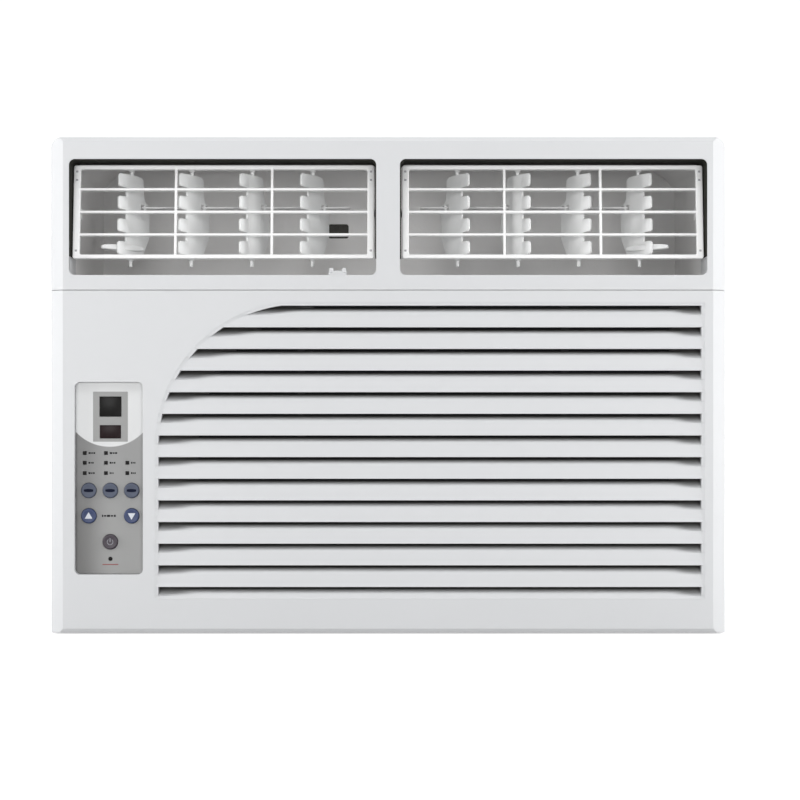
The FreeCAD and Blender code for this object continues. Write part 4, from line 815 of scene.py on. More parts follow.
fascia = {
    "half": 235.0, "low": 1.0, "high": 346.0, "front": -200.0, "back": -155.0, "wall": 2.5,
    "sideRoll": 9.0, "rollDeep": 4.6, "topRoll": 3.0, "cornerRound": 7.0, "notchTop": 239.65, "notchBack": -187.7,
            "heelTop": 11.6, "heelBack": -183.0,
    "outletX": 115.1, "outletW": 213.7, "outletLow": 249.9, "outletHigh": 330.6, "outletR": 4.0,
    # painted shade: thickness and lower end of the dark strip inside the outlets
    "rim": 2.2, "rimBack": -172.0, "shadeStrip": 0.8, "shadeStripLow": 263.0,
}


catch = {
    "x": (-41.4, -28.8), "y": (-198.4, -184.0), "z": (248.8, 253.1),
    "ears": (-39.6, -30.6), "earW": 2.6, "earY": (-198.9, -194.0), "earZ": (251.6, 255.0),
}


def fasciaBlank(bm, inset, low, back):
    f = fascia
    stretch = f["sideRoll"] / f["rollDeep"]
    front, top = f["front"] + inset, f["high"] - inset
    verts = box(bm, (-f["half"] + inset, f["half"] - inset), (front, front + (back - front) * stretch), (low, top))
    roundOff(bm, edgesOf(verts, lambda e: runs(e, 1) and all(abs(v.co.z - top) < 1e-4 for v in e.verts)),
            f["cornerRound"] - inset, 6)
    atFront = lambda e: all(abs(v.co.y - front) < 1e-4 for v in e.verts)
    roundOff(bm, [e for e in bm.edges if atFront(e) and not all(abs(v.co.z - low) < 1e-4 for v in e.verts)],
            f["topRoll"], 1)
    for v in bm.verts:
        if abs(v.co.y - front) < 1e-4 and abs(v.co.x) > f["half"] - inset - f["cornerRound"] - 1:      # wider roll down the sides
            away = f["half"] - inset - abs(v.co.x)
            v.co.x = math.copysign(f["half"] - inset - max(away, f["sideRoll"]), v.co.x)
    for v in bm.verts:
        v.co.y = front + (v.co.y - front) / stretch
    for v in bm.verts:      # deeper roll down the sides, easing off round the corner
        if front + 0.1 < v.co.y < front + 4:
            share = (abs(v.co.x) - (f["half"] - f["cornerRound"])) / (f["cornerRound"] - inset)
            if share > 0:
                v.co.y += (front + f["rollDeep"] - v.co.y) * share
    inFront = lambda e: all(v.co.y < back - 0.5 for v in e.verts)
    longOrHigh = lambda e: e.calc_length() > 3 or e.verts[0].co.z > top - f["cornerRound"] - 1
    sharp = [e for e in bm.edges if e.calc_face_angle(0) > 0.3 and inFront(e) and longOrHigh(e)]
    roundOff(bm, sharp, 1.2 if inset == 0 else 0.4, 3)


def makeFascia():
    f = fascia
    bm = bmesh.new()
    fasciaBlank(bm, 0, f["low"], f["back"])
    shellPiece = meshPiece("front_fascia_shell", bm, "front_plastic")
    through = (f["front"] - 1, f["back"] + 1)
    cutters = [cutterFrom(lambda b: fasciaBlank(b, f["wall"], f["low"] - 2, f["back"] + 1)),
               cutterFrom(lambda b: box(b, (-f["half"] - 1, f["half"] + 1), (f["front"] - 1, f["notchBack"]),
                       (f["low"] - 2, f["notchTop"]))),
               cutterFrom(lambda b: box(b, (-f["half"] - 1, f["half"] + 1), (f["front"] - 1, f["heelBack"]),
                       (f["low"] - 2, f["heelTop"])))]      # room for the opened door's heel
    for side in (-1, 1):
        span = (side * f["outletX"] - f["outletW"] / 2, side * f["outletX"] + f["outletW"] / 2)
        cutters.append(cutterFrom(lambda b: roundedPlate(b, span, (f["outletLow"], f["outletHigh"]), f["outletR"],
                through)))
    carve(shellPiece, cutters)
    addBevel(shellPiece, 0.6, 3, 50)
    applyAll(shellPiece)

    parts = []
    for side in (-1, 1):
        low, high = side * f["outletX"] - f["outletW"] / 2, side * f["outletX"] + f["outletW"] / 2
        bm = bmesh.new()
        roundedPlate(bm, (low - f["rim"], high + f["rim"]), (f["outletLow"] - f["rim"], f["outletHigh"] + f["rim"]),
                f["outletR"] + f["rim"],
                     (f["front"] + 1.2, f["rimBack"]))
        tube = meshPiece("outlet_wall", bm, "front_plastic")
        carve(tube, [cutterFrom(lambda b: roundedPlate(b, (low, high), (f["outletLow"], f["outletHigh"]),
                f["outletR"], through))])
        parts.append(tube)
    bm = bmesh.new()
    inner = f["half"] - f["wall"] - 0.1
    softBox(bm, (-inner, inner), (f["front"] + 3.0, f["rimBack"]), (f["notchTop"], f["notchTop"] + 2.5), 0.3)
    softBox(bm, (-inner, inner), (f["heelBack"], f["heelBack"] + 4.5), (f["low"], f["low"] + 8), 0.5)
    for side in (-1, 1):      # hinge lugs
        x = centredSpan(side * hinge["x"], hinge["lug"])
        softBox(bm, x, (hinge["y"], hinge["y"] + 13), centredSpan(hinge["z"], 2 * hinge["lugR"]), 0.4)
        rod(bm, "x", (x[0], hinge["y"], hinge["z"]), hinge["lugR"], hinge["lug"], 24, size=0.3)
    softBox(bm, catch["x"], catch["y"], catch["z"], 0.7, 3)
    for x in catch["ears"]:
        softBox(bm, centredSpan(x, catch["earW"]), catch["earY"], catch["earZ"], 0.5, 2)
    parts.append(meshPiece("fascia_extras", bm, "front_plastic"))
    shadeStrip = bmesh.new()      # painted shade: a dark strip inside each outlet, round the top and down to the louvre frame's lower end, standing in for the shade in the throat
    thick, depth = f["shadeStrip"], (f["front"] + 1.0, f["rimBack"] - 0.5)
    holes = []
    for side in (-1, 1):
        low, high = side * f["outletX"] - f["outletW"] / 2, side * f["outletX"] + f["outletW"] / 2
        roundedPlate(shadeStrip, (low, high), (f["outletLow"], f["outletHigh"]), f["outletR"], depth)
        inside = ((low + thick, high - thick), (f["outletLow"], f["outletHigh"] - thick), f["outletR"] - thick,
                (depth[0] - 1, depth[1] + 1))
        holes.append(cutterFrom(lambda b: roundedPlate(b, *inside)))
        holes.append(cutterFrom(lambda b: box(b, (low - 1, high + 1), inside[3], (f["outletLow"] - 1, f["shadeStripLow"]))))
    shadeStripPiece = meshPiece("outlet_shade_strips", shadeStrip, "dark_shade_strip")
    carve(shadeStripPiece, holes)
    place(shadeStripPiece, "chassis", "rubber")
    joinInto(shellPiece, parts)
    place(evenNormals(shellPiece), "chassis", "front_plastic", "front_fascia")


makeFascia()
print("fascia ready")


# ---- louvre frames, vanes and link rods

outlet = {
    "x": 115.1, "y": -183.0, "z": 294.0, "tilt": -6.0, "half": 105.4, "tall": 66.2, "front": -8.0, "back": 10.0,
    "edge": 2.8, "bar": 1.7, "barDeep": 4.5, "endPlate": 4.8, "post": 33.7, "stub": 2.5, "pitch": 16.1,
    "vanePitch": 42.7, "vaneShift": -2.3, "vaneBack": 4.0, "swing": 38.0, "vaneThick": 1.8, "rear": 18.0,
            "reach": 12.0,
    "pin": 1.2, "tail": 4.0, "crank": 13.0, "crankPin": 1.1, "rodUp": 7.0, "notch": 3.4, "rodW": 5.0, "rodThick": 1.2,
    "rodTail": 18.0, "tongueUp": 9.1, "tongueLong": 21.0, "tongueBack": 9.0, "tongueW": 7.0, "tongueThick": 3.9,
            "tongueLean": 30.0,
    "tabTall": 9.9, "tabDrop": 0.45, "bodyFront": -5.2, "bow": 0.006,
}


def tilted(side):
    o = outlet
    return Matrix.Translation((side * o["x"], o["y"], o["z"])) @ Matrix.Rotation(math.radians(o["tilt"]), 4, "X")


def vaneX(index):
    return outlet["vaneShift"] + (index - 1.5) * outlet["vanePitch"]


def makeLouverFrame(word, side):
    o = outlet
    half, tall, ends = o["half"], o["tall"] / 2, o["endPlate"]
    bm = bmesh.new()
    roundedPlate(bm, (-half, half), (-tall, tall), 1.6, (o["front"], o["stub"] + 0.7), 4)
    ring = meshPiece(word + "_louver_ring", bm, "louver_plastic")
    behind = (o["front"] + o["barDeep"], o["back"] + 1)
    cutters = [cutterFrom(lambda b: roundedPlate(b, (-half + ends, half - ends),
            (-tall + o["edge"], tall - o["edge"]), 1.2,
                                                 (o["front"] - 1, o["back"] + 1), 4))]
    for z in ((-tall - 1, -o["stub"] - 1.7), (o["stub"] + 1.7,
            tall + 1)):      # the frame is shallow except round its pivots
        cutters.append(cutterFrom(lambda b: box(b, (-half - 1, half + 1), behind, z)))
    carve(ring, cutters)
    addBevel(ring, 0.5, 2, 50)
    applyAll(ring)
    bm = bmesh.new()
    for i in (-1, 0, 1):
        softBox(bm, (-half + ends / 2, half - ends / 2), (o["front"] + 0.1, o["front"] + o["barDeep"]),
                (i * o["pitch"] - o["bar"] / 2, i * o["pitch"] + o["bar"] / 2), 0.45)
    for i in (-1, 1):
        softBox(bm, (i * o["post"] - o["bar"] / 2, i * o["post"] + o["bar"] / 2),
                (o["front"] + 0.3, o["front"] + o["barDeep"]),
                (-tall + 1, tall - 1), 0.45)
    for index in range(4):      # bosses that hold the vane pins
        for way in (-1, 1):
            middle = way * (tall - o["edge"] / 2)
            softBox(bm, centredSpan(vaneX(index), 3.6), (o["front"] + 3, o["vaneBack"] + 1.9),
                    centredSpan(middle, o["edge"] - 0.8), 0.4)
    for way in (-1, 1):
        start = min(way * (half - 1), way * 108.35)
        rod(bm, "x", (start, 0, 0), o["stub"], 108.35 - half + 1, 20, size=0.2)
    joinInto(ring, [meshPiece("bars", bm, "louver_plastic")])
    ring.data.transform(Matrix.Scale(mm, 4) @ tilted(side) @ Matrix.Scale(1 / mm, 4))
    ring.name = word + "_louver_grille"
    place(evenNormals(ring), word + "_louver", "louver_plastic", word + "_louver_frame")
    bm = bmesh.new()
    for way in (-1, 1):
        for v in (tall - 4.5, tall - 10.5, 5.5 - tall):
            x = way * (half - ends / 2)
            softBox(bm, centredSpan(x, 1.7), (o["front"] - 0.12, o["front"] + 1), centredSpan(v, 1.5), 0.25)
    bmesh.ops.transform(bm, matrix=tilted(side), verts=bm.verts[:])
    rivets = meshPiece(word + "_louver_rivets", bm, "rivet")
    place(rivets, word + "_louver", "louver_plastic")


def makeVane(word, side, index, leads):
    o = outlet
    upper, lower = o["tall"] / 2 - o["edge"] - 1.5, -(o["tall"] / 2 - o["edge"] - 0.5)
    bm = bmesh.new()
    outline = []
    for i in range(4):      # four tabs that reach through between the bars
        middle = (i - 1.5) * o["pitch"] - o["tabDrop"]
        low, high, reach = max(lower, middle - o["tabTall"] / 2), min(upper, middle + o["tabTall"] / 2), -o["reach"]
        outline += [(o["bodyFront"], low), (reach + 1.1, low + 0.3), (reach, low + 1.6), (reach, high - 1.6),
                (reach + 1.1, high - 0.3), (o["bodyFront"], high)]
    notchLow, notchHigh = o["rodUp"] - o["notch"] / 2, o["rodUp"] + o["notch"] / 2
    notchIn = o["crank"] - o["rodW"] / 2 - 2
    rear = o["rear"]
    outline += [(rear * 0.2, upper), (rear * 0.5, upper - 0.6), (rear * 0.6, upper - 2.4),
            (rear * 0.64, notchHigh + 6), (rear * 0.7, notchHigh + 2.8),
                (rear * 0.88, notchHigh + 1.0), (rear - 0.6, notchHigh), (notchIn, notchHigh), (notchIn, notchLow),
                        (rear - 0.6, notchLow),
                (rear - 0.1, notchLow - 0.6), (rear, lower * 0.42), (rear * 0.96, lower * 0.52),
                        (rear * 0.62, lower * 0.93),
                (rear * 0.52, lower * 0.99), (rear * 0.3, lower)]
    face = bm.faces.new([bm.verts.new((-o["vaneThick"] / 2, y, z)) for y, z in outline])
    grown = bmesh.ops.extrude_face_region(bm, geom=[face])
    bmesh.ops.translate(bm, vec=(o["vaneThick"], 0, 0),
            verts=[v for v in grown["geom"] if isinstance(v, bmesh.types.BMVert)])
    bmesh.ops.recalc_face_normals(bm, faces=bm.faces[:])
    flats = [f for f in bm.faces if len(f.verts) > 10]
    roundOff(bm, list({e for f in flats for e in f.edges}), 0.55, 3)
    for y in (-8.0, -5.2, -1.5, 2.0, 5.0, 8.0, 10.5, 14.0, 16.0):      # rings of edges, so the blade can bow
        bmesh.ops.bisect_plane(bm, geom=bm.verts[:] + bm.edges[:] + bm.faces[:], dist=1e-4, plane_co=(0, y, 0),
                plane_no=(0, 1, 0))
    for v in bm.verts:
        y = v.co.y
        v.co.x += side * o["bow"] * y * (y - o["crank"]) if y > 0 else -side * o["bow"] * y * o["crank"]
    rod(bm, "z", (0, 0, -o["tall"] / 2 - o["tail"]), o["pin"], o["tall"] / 2 + o["tail"] + lower + 0.4, 16, size=0.3)
    rod(bm, "z", (0, 0, upper - 0.4), o["pin"], o["tall"] / 2 - upper + 1.3, 16, size=0.3)
    rod(bm, "z", (0, o["crank"], notchLow - 0.5), o["crankPin"], o["notch"] + 1, 14)
    matrix = tilted(side) @ Matrix.Translation((vaneX(index), o["vaneBack"],
            0)) @ Matrix.Rotation(math.radians(side * o["swing"]), 4, "Z")
    bmesh.ops.transform(bm, matrix=matrix, verts=bm.verts[:])
    node = f"{word}_vane_{index + 1}"
    piece = meshPiece(node + "_blade", bm, "vane_plastic")
    if leads:
        bm = bmesh.new()
        z, long, back, wide, thick = o["tongueUp"] - o["tall"] / 2, o["tongueLong"], o["tongueBack"], o["tongueW"], o["tongueThick"]
        tongue = box(bm, (-wide / 2, wide / 2), (-long, back), (z - thick / 2, z + thick / 2))
        bmesh.ops.subdivide_edges(bm, edges=edgesOf(tongue, lambda e: runs(e, 1)), cuts=9)
        for v in bm.verts:      # boat shape, thin and narrow at both ends
            share = abs(v.co.y + (long - back) / 2) / ((long + back) / 2)
            v.co.x *= 1 - 0.6 * share ** 3
            v.co.z = z + (v.co.z - z) * (1 - 0.4 * share ** 3)
        roundOff(bm, [e for e in bm.edges if e.calc_face_angle(0) > 0.8], 0.5, 3)
        turn = Matrix.Rotation(math.radians(side * o["tongueLean"]), 4, "Z")
        bmesh.ops.transform(bm, matrix=matrix @ turn, verts=bm.verts[:])
        joinInto(piece, [meshPiece("tongue", bm, "vane_plastic")])
        piece.data.set_sharp_from_angle(angle=math.radians(38))
    place(piece, node + "_body", "louver_plastic", node)


def makeLinkRod(word, side):
    o = outlet
    ends = (o["rodW"] / 2 + 1, o["rodTail"]) if side < 0 else (o["rodTail"], o["rodW"] / 2 + 1)
    bm = bmesh.new()
    softBox(bm, (vaneX(0) - ends[0], vaneX(3) + ends[1]), (-o["rodW"] / 2, o["rodW"] / 2),
            (-o["rodThick"] / 2, o["rodThick"] / 2), 0.4)
    for i in range(4):
        rod(bm, "z", (vaneX(i), 0, -o["rodThick"] / 2 - 0.25), 2.2, o["rodThick"] + 0.5, 20, size=0.2)
    swing = math.radians(side * o["swing"])
    matrix = tilted(side) @ Matrix.Translation((-o["crank"] * math.sin(swing),
            o["vaneBack"] + o["crank"] * math.cos(swing), o["rodUp"]))
    bmesh.ops.transform(bm, matrix=matrix, verts=bm.verts[:])
    piece = meshPiece(word + "_link_bar", bm, "link_plastic")
    place(piece, word + "_link", "louver_plastic", word + "_link_rod")


for word, side in (("left", -1), ("right", 1)):
    makeLouverFrame(word, side)
    for index in range(4):
        makeVane(word, side, index, index == (0 if side < 0 else 3))
    makeLinkRod(word, side)
print("outlets ready")


# ---- air duct behind the outlets

duct = {
    "half": 224.9, "front": -171.6, "back": -42.5, "low": 246.1, "high": 342.0, "wall": 3.0, "lid": 1.2,
            "corner": 24.0, "lowCorner": 4.0,
    "neck": (51.0, 156.0, -123.5, -50.3), "vent": (-47.4, -31.6, 288.5, 299.6), "ventRound": 1.8,
}


def makeDuct():
    d, f = duct, fascia
    bm = bmesh.new()
    box(bm, (-d["half"], d["half"]), (d["front"], d["back"]), (d["low"], d["high"]))
    liner = meshPiece("air_duct_liner", bm, "foam")
    inner = d["half"] - d["wall"]
    room = (d["front"] + d["wall"], d["back"] - d["wall"])
    mouth = (d["front"] - 1, room[0] + 1)
    left, right, low, high = d["vent"]

    def hollow(b):
        verts = box(b, (-inner, inner), room, (d["low"] + d["wall"], d["high"] - d["lid"]))
        roundOff(b, edgesOf(verts, lambda e: runs(e, 1) and e.verts[0].co.z > d["low"] + 40), d["corner"], 12)
        roundOff(b, [e for e in b.edges if runs(e, 1) and e.verts[0].co.z < d["low"] + 10], d["lowCorner"], 5)

    cutters = [
        cutterFrom(hollow),
        cutterFrom(lambda b: box(b, d["neck"][:2], d["neck"][2:], (d["low"] - 1, d["low"] + d["wall"] + 1))),
        cutterFrom(lambda b: roundedPlate(b, (left, right), (low, high), d["ventRound"],
                (room[1] - 1, d["back"] + 1))),
    ]
    for side in (-1, 1):
        span = centredSpan(side * f["outletX"], f["outletW"])
        cutters.append(cutterFrom(lambda b: box(b, span, mouth, (f["outletLow"], f["outletHigh"]))))
    carve(liner, cutters)
    addBevel(liner, 0.7, 2, 50)
    applyAll(liner)
    place(evenNormals(liner), "chassis", "foam", "air_plenum")
    bm = bmesh.new()      # dark flap that closes the fresh-air hole
    roundedPlate(bm, (left + 0.1, right - 0.1), (low + 0.1, high - 0.1), d["ventRound"],
            (d["back"] - 1.0, d["back"] - 0.2))
    for i in range(3):
        softBox(bm, centredSpan(left + 4 + 4 * i, 0.8), (d["back"] - 1.5, d["back"] - 0.9), (low + 1, high - 1), 0.15)
    place(meshPiece("vent_flap", bm, "vent_dark"), "chassis", "black_plastic")


makeDuct()
print("air duct ready")


# ---- control panel

panel = {
    "x": -194.2, "z": 108.6, "w": 47.5, "tall": 133.8, "gap": 0.18, "front": -195.5, "wall": 2.2, "back": -168.3,
    "round": 3.0, "buttonR": 5.25, "buttonGap": 0.2, "buttonOut": 1.6, "lamp": 2.4, "lensGap": 0.1,
    "buttons": {"mode": (-14.5, -8.7), "fan": (0.5, -8.7), "timer": (15.4, -8.7), "up": (-14.5, -26.4),
            "down": (15.4, -26.4), "power": (0.5, -44.5)},
    "lamps": [(-17.4, 17.4), (-2.6, 17.4), (-17.4, 10.6), (-2.6, 10.6), (12.3, 10.6), (-17.4, 3.4), (-2.6, 3.4),
            (12.3, 3.4)],
    "display": (0.55, 49.8, 15.1, 13.9), "sensor": (0.5, 32.2, 14.6, 9.1), "powerLamp": (0.5, -56.4),
    "postR": 2.0, "postIn": 6.0, "dash": (8.2, 2.2), "boardFront": -181.0, "switch": 5.0, "travel": 1.0,
}


def onPanel(spot):
    return panel["x"] + spot[0], panel["z"] + spot[1]


def makePanel():
    p = panel
    wide, tall = p["w"] - 2 * p["gap"], p["tall"] - 2 * p["gap"]
    bm = bmesh.new()
    roundedPlate(bm, centredSpan(p["x"], wide), centredSpan(p["z"], tall), p["round"], (p["front"], p["back"]))
    shellPiece = meshPiece("control_panel_shell", bm, "panel_plastic")
    through = (p["front"] - 1, p["front"] + p["wall"] + 1)
    cutters = [cutterFrom(lambda b: roundedPlate(b, centredSpan(p["x"], wide - 3), centredSpan(p["z"], tall - 3), 1.8,
            (p["front"] + p["wall"], p["back"] + 1)))]

    def holes(b):
        for spot in p["buttons"].values():
            u, v = onPanel(spot)
            rod(b, "y", (u, through[0], v), p["buttonR"] + p["buttonGap"], through[1] - through[0], 40)
        u, v = onPanel(p["powerLamp"])
        rod(b, "y", (u, through[0], v), p["lamp"] / 2 + 0.3, through[1] - through[0], 24)
        for u, v, w, h in [(*spot, p["lamp"], p["lamp"]) for spot in p["lamps"]] + [p["display"], p["sensor"]]:
            u, v = onPanel((u, v))
            box(b, centredSpan(u, w + 2 * p["lensGap"]), through, centredSpan(v, h + 2 * p["lensGap"]))

    cutters.append(cutterFrom(holes))
    carve(shellPiece, cutters)
    addBevel(shellPiece, 0.3, 2, 50)
    applyAll(shellPiece)
    bm = bmesh.new()
    for u in (-1, 1):
        for v in (-1, 1):
            at = (p["x"] + u * (p["w"] / 2 - p["postIn"]), p["front"] + 1.1,
                    p["z"] + v * (p["tall"] / 2 - p["postIn"]))
            rod(bm, "y", at, p["postR"], p["boardFront"] - p["front"] - 1.1, 16)
    joinInto(shellPiece, [meshPiece("posts", bm, "panel_plastic")])
    place(evenNormals(shellPiece), "chassis", "panel_plastic", "control_panel")


def lensPiece(name, spot, finish, node):
    u, v = onPanel(spot)
    bm = bmesh.new()
    verts = box(bm, centredSpan(u, spot[2]), (panel["front"] - 0.2, panel["front"] + 2.6), centredSpan(v, spot[3]))
    roundOff(bm, edgesOf(verts, lambda e: runs(e, 1)), 0.6, 3)
    front = [f for f in bm.faces if f.normal.y < -0.9]
    roundOff(bm, list({e for f in front for e in f.edges}), 0.25, 2)
    place(meshPiece(name, bm, finish), "chassis", "dark_lens", node)


def makeLamps():
    bm = bmesh.new()
    for spot in panel["lamps"]:
        u, v = onPanel(spot)
        softBox(bm, centredSpan(u, panel["lamp"]), (panel["front"] - 0.2, panel["front"] + 2.6),
                centredSpan(v, panel["lamp"]), 0.25)
    u, v = onPanel(panel["powerLamp"])
    rod(bm, "y", (u, panel["front"] - 0.2, v), 1.4, 2.8, 24, size=0.25)
    place(meshPiece("lamp_windows", bm, "lamp_lens"), "chassis", "lamp_lens", "indicator_lenses")


def makeMarks():
    front = panel["front"]
    bm = bmesh.new()
    labels = [5.4, 5.9, 4.2, 4.6, 3.6, 5.0, 3.2, 3.8]
    for spot, long in zip(panel["lamps"], labels):
        u, v = onPanel(spot)
        left = u + 2.6
        for share, tall in ((0.36, 1.25), (0.28, 0.95), (0.3, 1.15)):
            softBox(bm, (left, left + long * share - 0.35), (front - 0.06, front + 0.1), centredSpan(v, tall), 0.03,
                    1)
            left += long * share
    u, v = onPanel((-0.2, -26.4))
    for i, (share, tall) in enumerate(((0.9, 1.5), (1.6, 1.0), (2.2, 1.4), (1.7, 1.0), (1.2, 1.5))):
        start = u - 5.2 + [0, 1.4, 3.5, 6.2, 8.4][i]
        softBox(bm, (start, start + share), (front - 0.06, front + 0.1), centredSpan(v, tall), 0.03, 1)
    place(meshPiece("panel_marks", bm, "dark_print"), "chassis", "panel_plastic")
    bm = bmesh.new()
    u, v = onPanel((0.5, -60.3))
    softBox(bm, centredSpan(u, 11.0), (front - 0.06, front + 0.1), centredSpan(v, 0.75), 0.03, 1)
    place(meshPiece("panel_red_mark", bm, "red_print"), "chassis", "panel_plastic")


def makeButton(name, spot, finish, mark, markFinish):
    p = panel
    u, v = onPanel(spot)
    top = p["front"] - p["buttonOut"]
    flange = p["front"] + p["wall"] + 0.3
    bm = bmesh.new()
    bmesh.ops.create_circle(bm, cap_ends=True, segments=48, radius=p["buttonR"])
    bmesh.ops.rotate(bm, cent=(0, 0, 0), matrix=Matrix.Rotation(math.pi / 2, 3, "X"), verts=bm.verts[:])
    bmesh.ops.translate(bm, vec=(u, flange, v), verts=bm.verts[:])
    face = bm.faces[:][0]
    grown = bmesh.ops.extrude_face_region(bm, geom=[face])
    moved = [x for x in grown["geom"] if isinstance(x, bmesh.types.BMVert)]
    bmesh.ops.translate(bm, vec=(0, top - flange, 0), verts=moved)
    bmesh.ops.recalc_face_normals(bm, faces=bm.faces[:])
    crown = [f for f in bm.faces if all(abs(w.co.y - top) < 1e-4 for w in f.verts)]
    roundOff(bm, list({e for f in crown for e in f.edges}), 0.8, 4)
    crown = [f for f in bm.faces if all(abs(w.co.y - top) < 1e-4 for w in f.verts)]
    for step, sink in ((0.5, 0.0), (0.5, 0.12), (1.0, 0.16), (1.3, 0.1)):      # finger dish
        bmesh.ops.inset_region(bm, faces=crown, thickness=step, depth=-sink)
    rod(bm, "y", (u, flange, v), p["buttonR"] + 0.6, 1.5, 48, size=0.2)
    rod(bm, "y", (u, flange + 1.5, v), 2.0, p["boardFront"] - p["switch"] - p["travel"] - 0.3 - flange - 1.5, 20)
    piece = meshPiece(name + "_key_cap", bm, finish)
    place(piece, name + "_key", "button_plastic", name + "_button")
    bm = bmesh.new()
    mark(bm, u, top + 0.28, v)
    place(meshPiece(name + "_key_mark", bm, markFinish), name + "_key", "button_plastic")


def dashMark(bm, u, y, v):      # a lens-shaped bar
    wide, tall = panel["dash"]
    softBox(bm, centredSpan(u, wide), (y - 0.14, y + 0.3), centredSpan(v, tall), 0.05, 1)
    bmesh.ops.subdivide_edges(bm, edges=[e for e in bm.edges if runs(e, 0)], cuts=7)
    for w in bm.verts:
        share = abs(w.co.x - u) / (wide / 2)
        w.co.z = v + (w.co.z - v) * (1 - 0.55 * share ** 2)


def arrowMark(way):
    def build(bm, u, y, v):
        verts = [bm.verts.new((u + x, y - 0.1, v + way * z)) for x, z in ((-2.7, -1.9), (2.7, -1.9), (0, 2.7))]
        bm.faces.new(verts)
        bmesh.ops.bevel(bm, geom=verts, offset=0.4, segments=3, profile=0.5, affect="VERTICES", material=-1)
        grown = bmesh.ops.extrude_face_region(bm, geom=bm.faces[:])
        bmesh.ops.translate(bm, vec=(0, 0.4, 0),
                verts=[x for x in grown["geom"] if isinstance(x, bmesh.types.BMVert)])
        bmesh.ops.recalc_face_normals(bm, faces=bm.faces[:])
    return build


def powerMark(bm, u, y, v):
    section = bmesh.ops.create_circle(bm, cap_ends=False, segments=4, radius=0.3)["verts"]
    bmesh.ops.rotate(bm, cent=(0, 0, 0), matrix=Matrix.Rotation(math.pi / 2, 3, "Y"), verts=section)
    bmesh.ops.translate(bm, vec=(0, 0, 2.0), verts=section)
    bmesh.ops.rotate(bm, cent=(0, 0, 0), matrix=Matrix.Rotation(math.radians(35), 3, "Y"), verts=section)
    bmesh.ops.spin(bm, geom=edgesOf(section), cent=(0, 0, 0), axis=(0, 1, 0), angle=math.radians(290), steps=28,
            use_duplicate=False)
    bmesh.ops.holes_fill(bm, edges=[e for e in bm.edges if len(e.link_faces) == 1], sides=4)
    bmesh.ops.translate(bm, vec=(u, y + 0.12, v), verts=bm.verts[:])
    softBox(bm, (u - 0.3, u + 0.3), (y - 0.2, y + 0.3), (v + 0.1, v + 2.7), 0.08, 1)
    bmesh.ops.recalc_face_normals(bm, faces=bm.faces[:])


makePanel()
lensPiece("display_window", panel["display"], "dark_lens", "display_lens")
lensPiece("sensor_window", panel["sensor"], "ir_lens", "ir_window")
makeLamps()
makeMarks()
for name, finish, mark, markFinish in (
        ("mode", "button_plastic", dashMark, "navy_print"), ("fan", "button_plastic", dashMark, "navy_print"),
        ("timer", "button_plastic", dashMark, "navy_print"), ("up", "navy_button", arrowMark(1), "white_print"),
        ("down", "navy_button", arrowMark(-1), "white_print"), ("power", "power_button", powerMark, "grey_print")):
    makeButton(name, panel["buttons"][name], finish, mark, markFinish)
print("control panel ready")


# ---- coil fins

finThick = 0.35


def makeFins(node, name, pitch):
    low, high = [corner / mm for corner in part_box(node)]
    count = int((high.x - low.x) / pitch)
    bm = bmesh.new()
    box(bm, (low.x, low.x + finThick), (low.y, high.y), (low.z, high.z))
    piece = meshPiece(name, bm, "fin_aluminium", 0)
    row = piece.modifiers.new("fin_row", "ARRAY")
    row.count = count
    row.use_relative_offset = False
    row.use_constant_offset = True
    row.constant_offset_displace = ((high.x - low.x - finThick) / (count - 1) * mm, 0, 0)
    place(piece, "chassis", "fin_aluminium", node)


makeFins("condenser_fins", "condenser_fin_pack", 1.8)
makeFins("evaporator_fins", "evaporator_fin_pack", 1.8)
print("coils ready")


# ---- cabinet

cabinet = {
    "half": 232.2, "front": -163.0, "rear": 199.95, "low": 2.0, "high": 343.2, "sheet": 0.8, "bend": 2.6,
            "rearBend": 1.4, "flange": 8.0,
    "ventStart": -12.0, "ventLong": 70.0, "ventTall": 5.0, "ventPitch": 16.0, "ventLow": 70.0, "vents": 12,
            "topSpread": 1.6,
    "hood": 2.1, "hoodSheet": 0.6, "railY": -103.0, "railX": 190.0, "sideHoles": (60.0, 260.0), "hole": 2.2,
    "gland": (-130.0, 60.0, 7.3), "screwY": (-102.0, 78.0, 180.0), "screwUp": 9.0,
}


def ventHood(bm, start, along, across, outward):      # a pressed louvre, shut along one side and open along the other
    c = cabinet
    long, wide = c["ventLong"] + 2, c["ventTall"] + 2
    for v in bmesh.ops.create_grid(bm, x_segments=14, y_segments=4, size=0.5)["verts"]:
        u, w = v.co.x + 0.5, v.co.y + 0.5
        end = min(1.0, (0.5 - abs(u - 0.5)) * long / 5)
        rise = c["hood"] * math.sin(w * math.pi / 2) * math.sqrt(max(0.0, 1 - (1 - end) ** 2))
        v.co = start + along * (u * long) + across * (w * wide) + outward * (rise - 0.3)


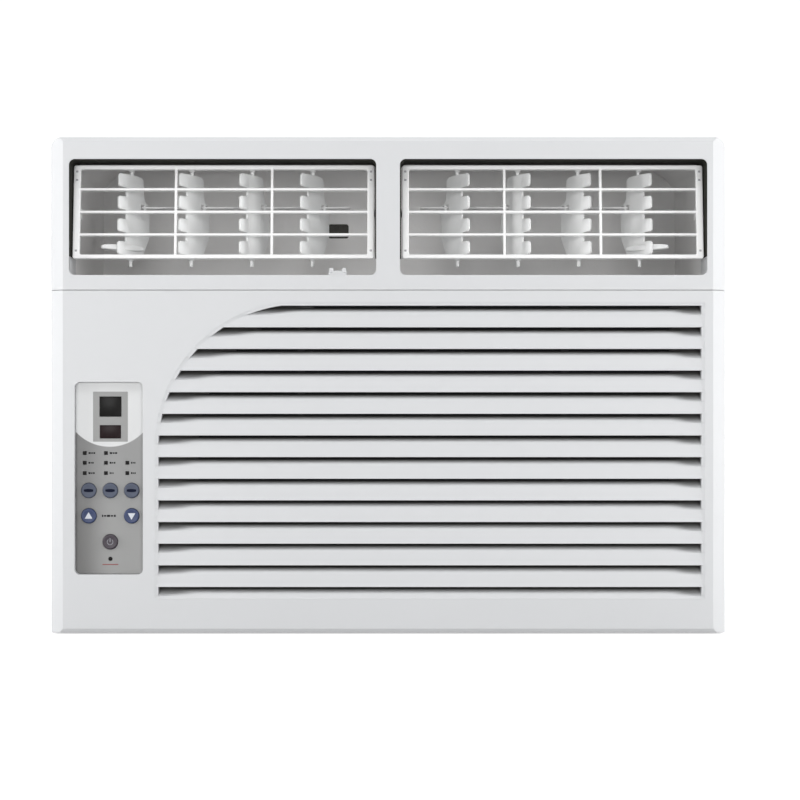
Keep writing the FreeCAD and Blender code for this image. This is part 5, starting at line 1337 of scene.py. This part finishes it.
def makeCabinet():
    c = cabinet
    half, high = c["half"], c["high"]
    bm = bmesh.new()
    box(bm, (-half, half), (c["front"], c["rear"]), (c["low"], high))
    flat = [f for f in bm.faces if f.normal.z < -0.9 or f.normal.y < -0.9]
    bmesh.ops.delete(bm, geom=flat, context="FACES_ONLY")
    atRear = lambda e: all(v.co.y > c["rear"] - 0.01 for v in e.verts)
    roundOff(bm, [e for e in bm.edges if len(e.link_faces) == 2 and runs(e, 1)], c["bend"], 4)
    roundOff(bm, [e for e in bm.edges if len(e.link_faces) == 2 and atRear(e)], c["rearBend"], 3)
    wrap = meshPiece("cabinet_shell", bm, "cabinet_paint")
    wall = wrap.modifiers.new("sheet", "SOLIDIFY")
    wall.thickness = c["sheet"] * mm
    wall.offset = -1
    wall.use_even_offset = True
    applyAll(wrap)
    vents = [c["ventLow"] + i * c["ventPitch"] for i in range(c["vents"])]
    tops = [(i - (c["vents"] - 1) / 2) * c["ventPitch"] * c["topSpread"] for i in range(c["vents"])]
    start, ends = c["ventStart"], (c["ventStart"], c["ventStart"] + c["ventLong"])

    def openings(b):
        for x in tops:
            box(b, centredSpan(x, c["ventTall"]), ends, (high - 4, high + 1))
        for side in (-1, 1):
            across = sorted((side * (half - 4), side * (half + 1)))
            for z in vents:
                box(b, across, ends, (z, z + c["ventTall"]))
            rod(b, "z", (side * c["railX"], c["railY"], high - 4), c["hole"], 6, 20)
            for z in c["sideHoles"]:
                rod(b, "x", (across[0], c["railY"], z), c["hole"], 5, 20)
        y, z, radius = c["gland"]
        rod(b, "x", (half - 4, y, z), radius, 6, 32)

    carve(wrap, [
        cutterFrom(lambda b: box(b, (c["flange"] - half, half - c["flange"]), (c["rear"] - 5, c["rear"] + 1),
                (0, high - c["flange"]))),
        cutterFrom(openings),
    ])
    bm = bmesh.new()
    ahead = Vector((0, 1, 0))
    for x in tops:
        side = 1 if x > 0 else -1
        ventHood(bm, Vector((x - side * (c["ventTall"] / 2 + 1), start - 1, high)), ahead, Vector((side, 0, 0)),
                Vector((0, 0, 1)))
    for side in (-1, 1):
        for z in vents:
            ventHood(bm, Vector((side * half, start - 1, z + c["ventTall"] + 1)), ahead, Vector((0, 0, -1)),
                    Vector((side, 0, 0)))
    hoods = meshPiece("vent_hoods", bm, "cabinet_paint")
    wall = hoods.modifiers.new("sheet", "SOLIDIFY")
    wall.thickness = c["hoodSheet"] * mm
    wall.offset = 0
    applyAll(hoods)
    joinInto(wrap, [hoods])
    place(evenNormals(wrap), "chassis", "cabinet_paint", "cabinet_wrap")


def makeScrews():
    c = cabinet
    bm, cross = bmesh.new(), bmesh.new()
    for side in (-1, 1):
        for i, y in enumerate(c["screwY"]):
            base = c["half"] + 0.02
            for radius, start, thick, sides in ((3.6, 0, 0.7, 28), (2.9, 0.6, 1.2, 6)):
                first = side * (base + start) if side > 0 else -base - start - thick
                rod(bm, "x", (first, y, c["screwUp"]), radius, thick, sides, size=0.18)
            deep = sorted((side * (base + 1.0), side * (base + 3)))
            turn = Matrix.Rotation(math.radians(25 + 50 * i), 3, "X")
            for wide, tall in ((0.7, 3.4), (3.4, 0.7)):
                made = box(cross, deep, centredSpan(0, wide), centredSpan(0, tall))
                bmesh.ops.rotate(cross, cent=(0, 0, 0), matrix=turn, verts=made)
                bmesh.ops.translate(cross, vec=(0, y, c["screwUp"]), verts=made)
    heads = meshPiece("cabinet_screw_heads", bm, "bright_steel")
    carve(heads, [meshPiece("cutter", cross, "bright_steel", 0)])
    place(heads, "chassis", "bright_steel", "cabinet_screws")


makeCabinet()
makeScrews()
print("cabinet ready")
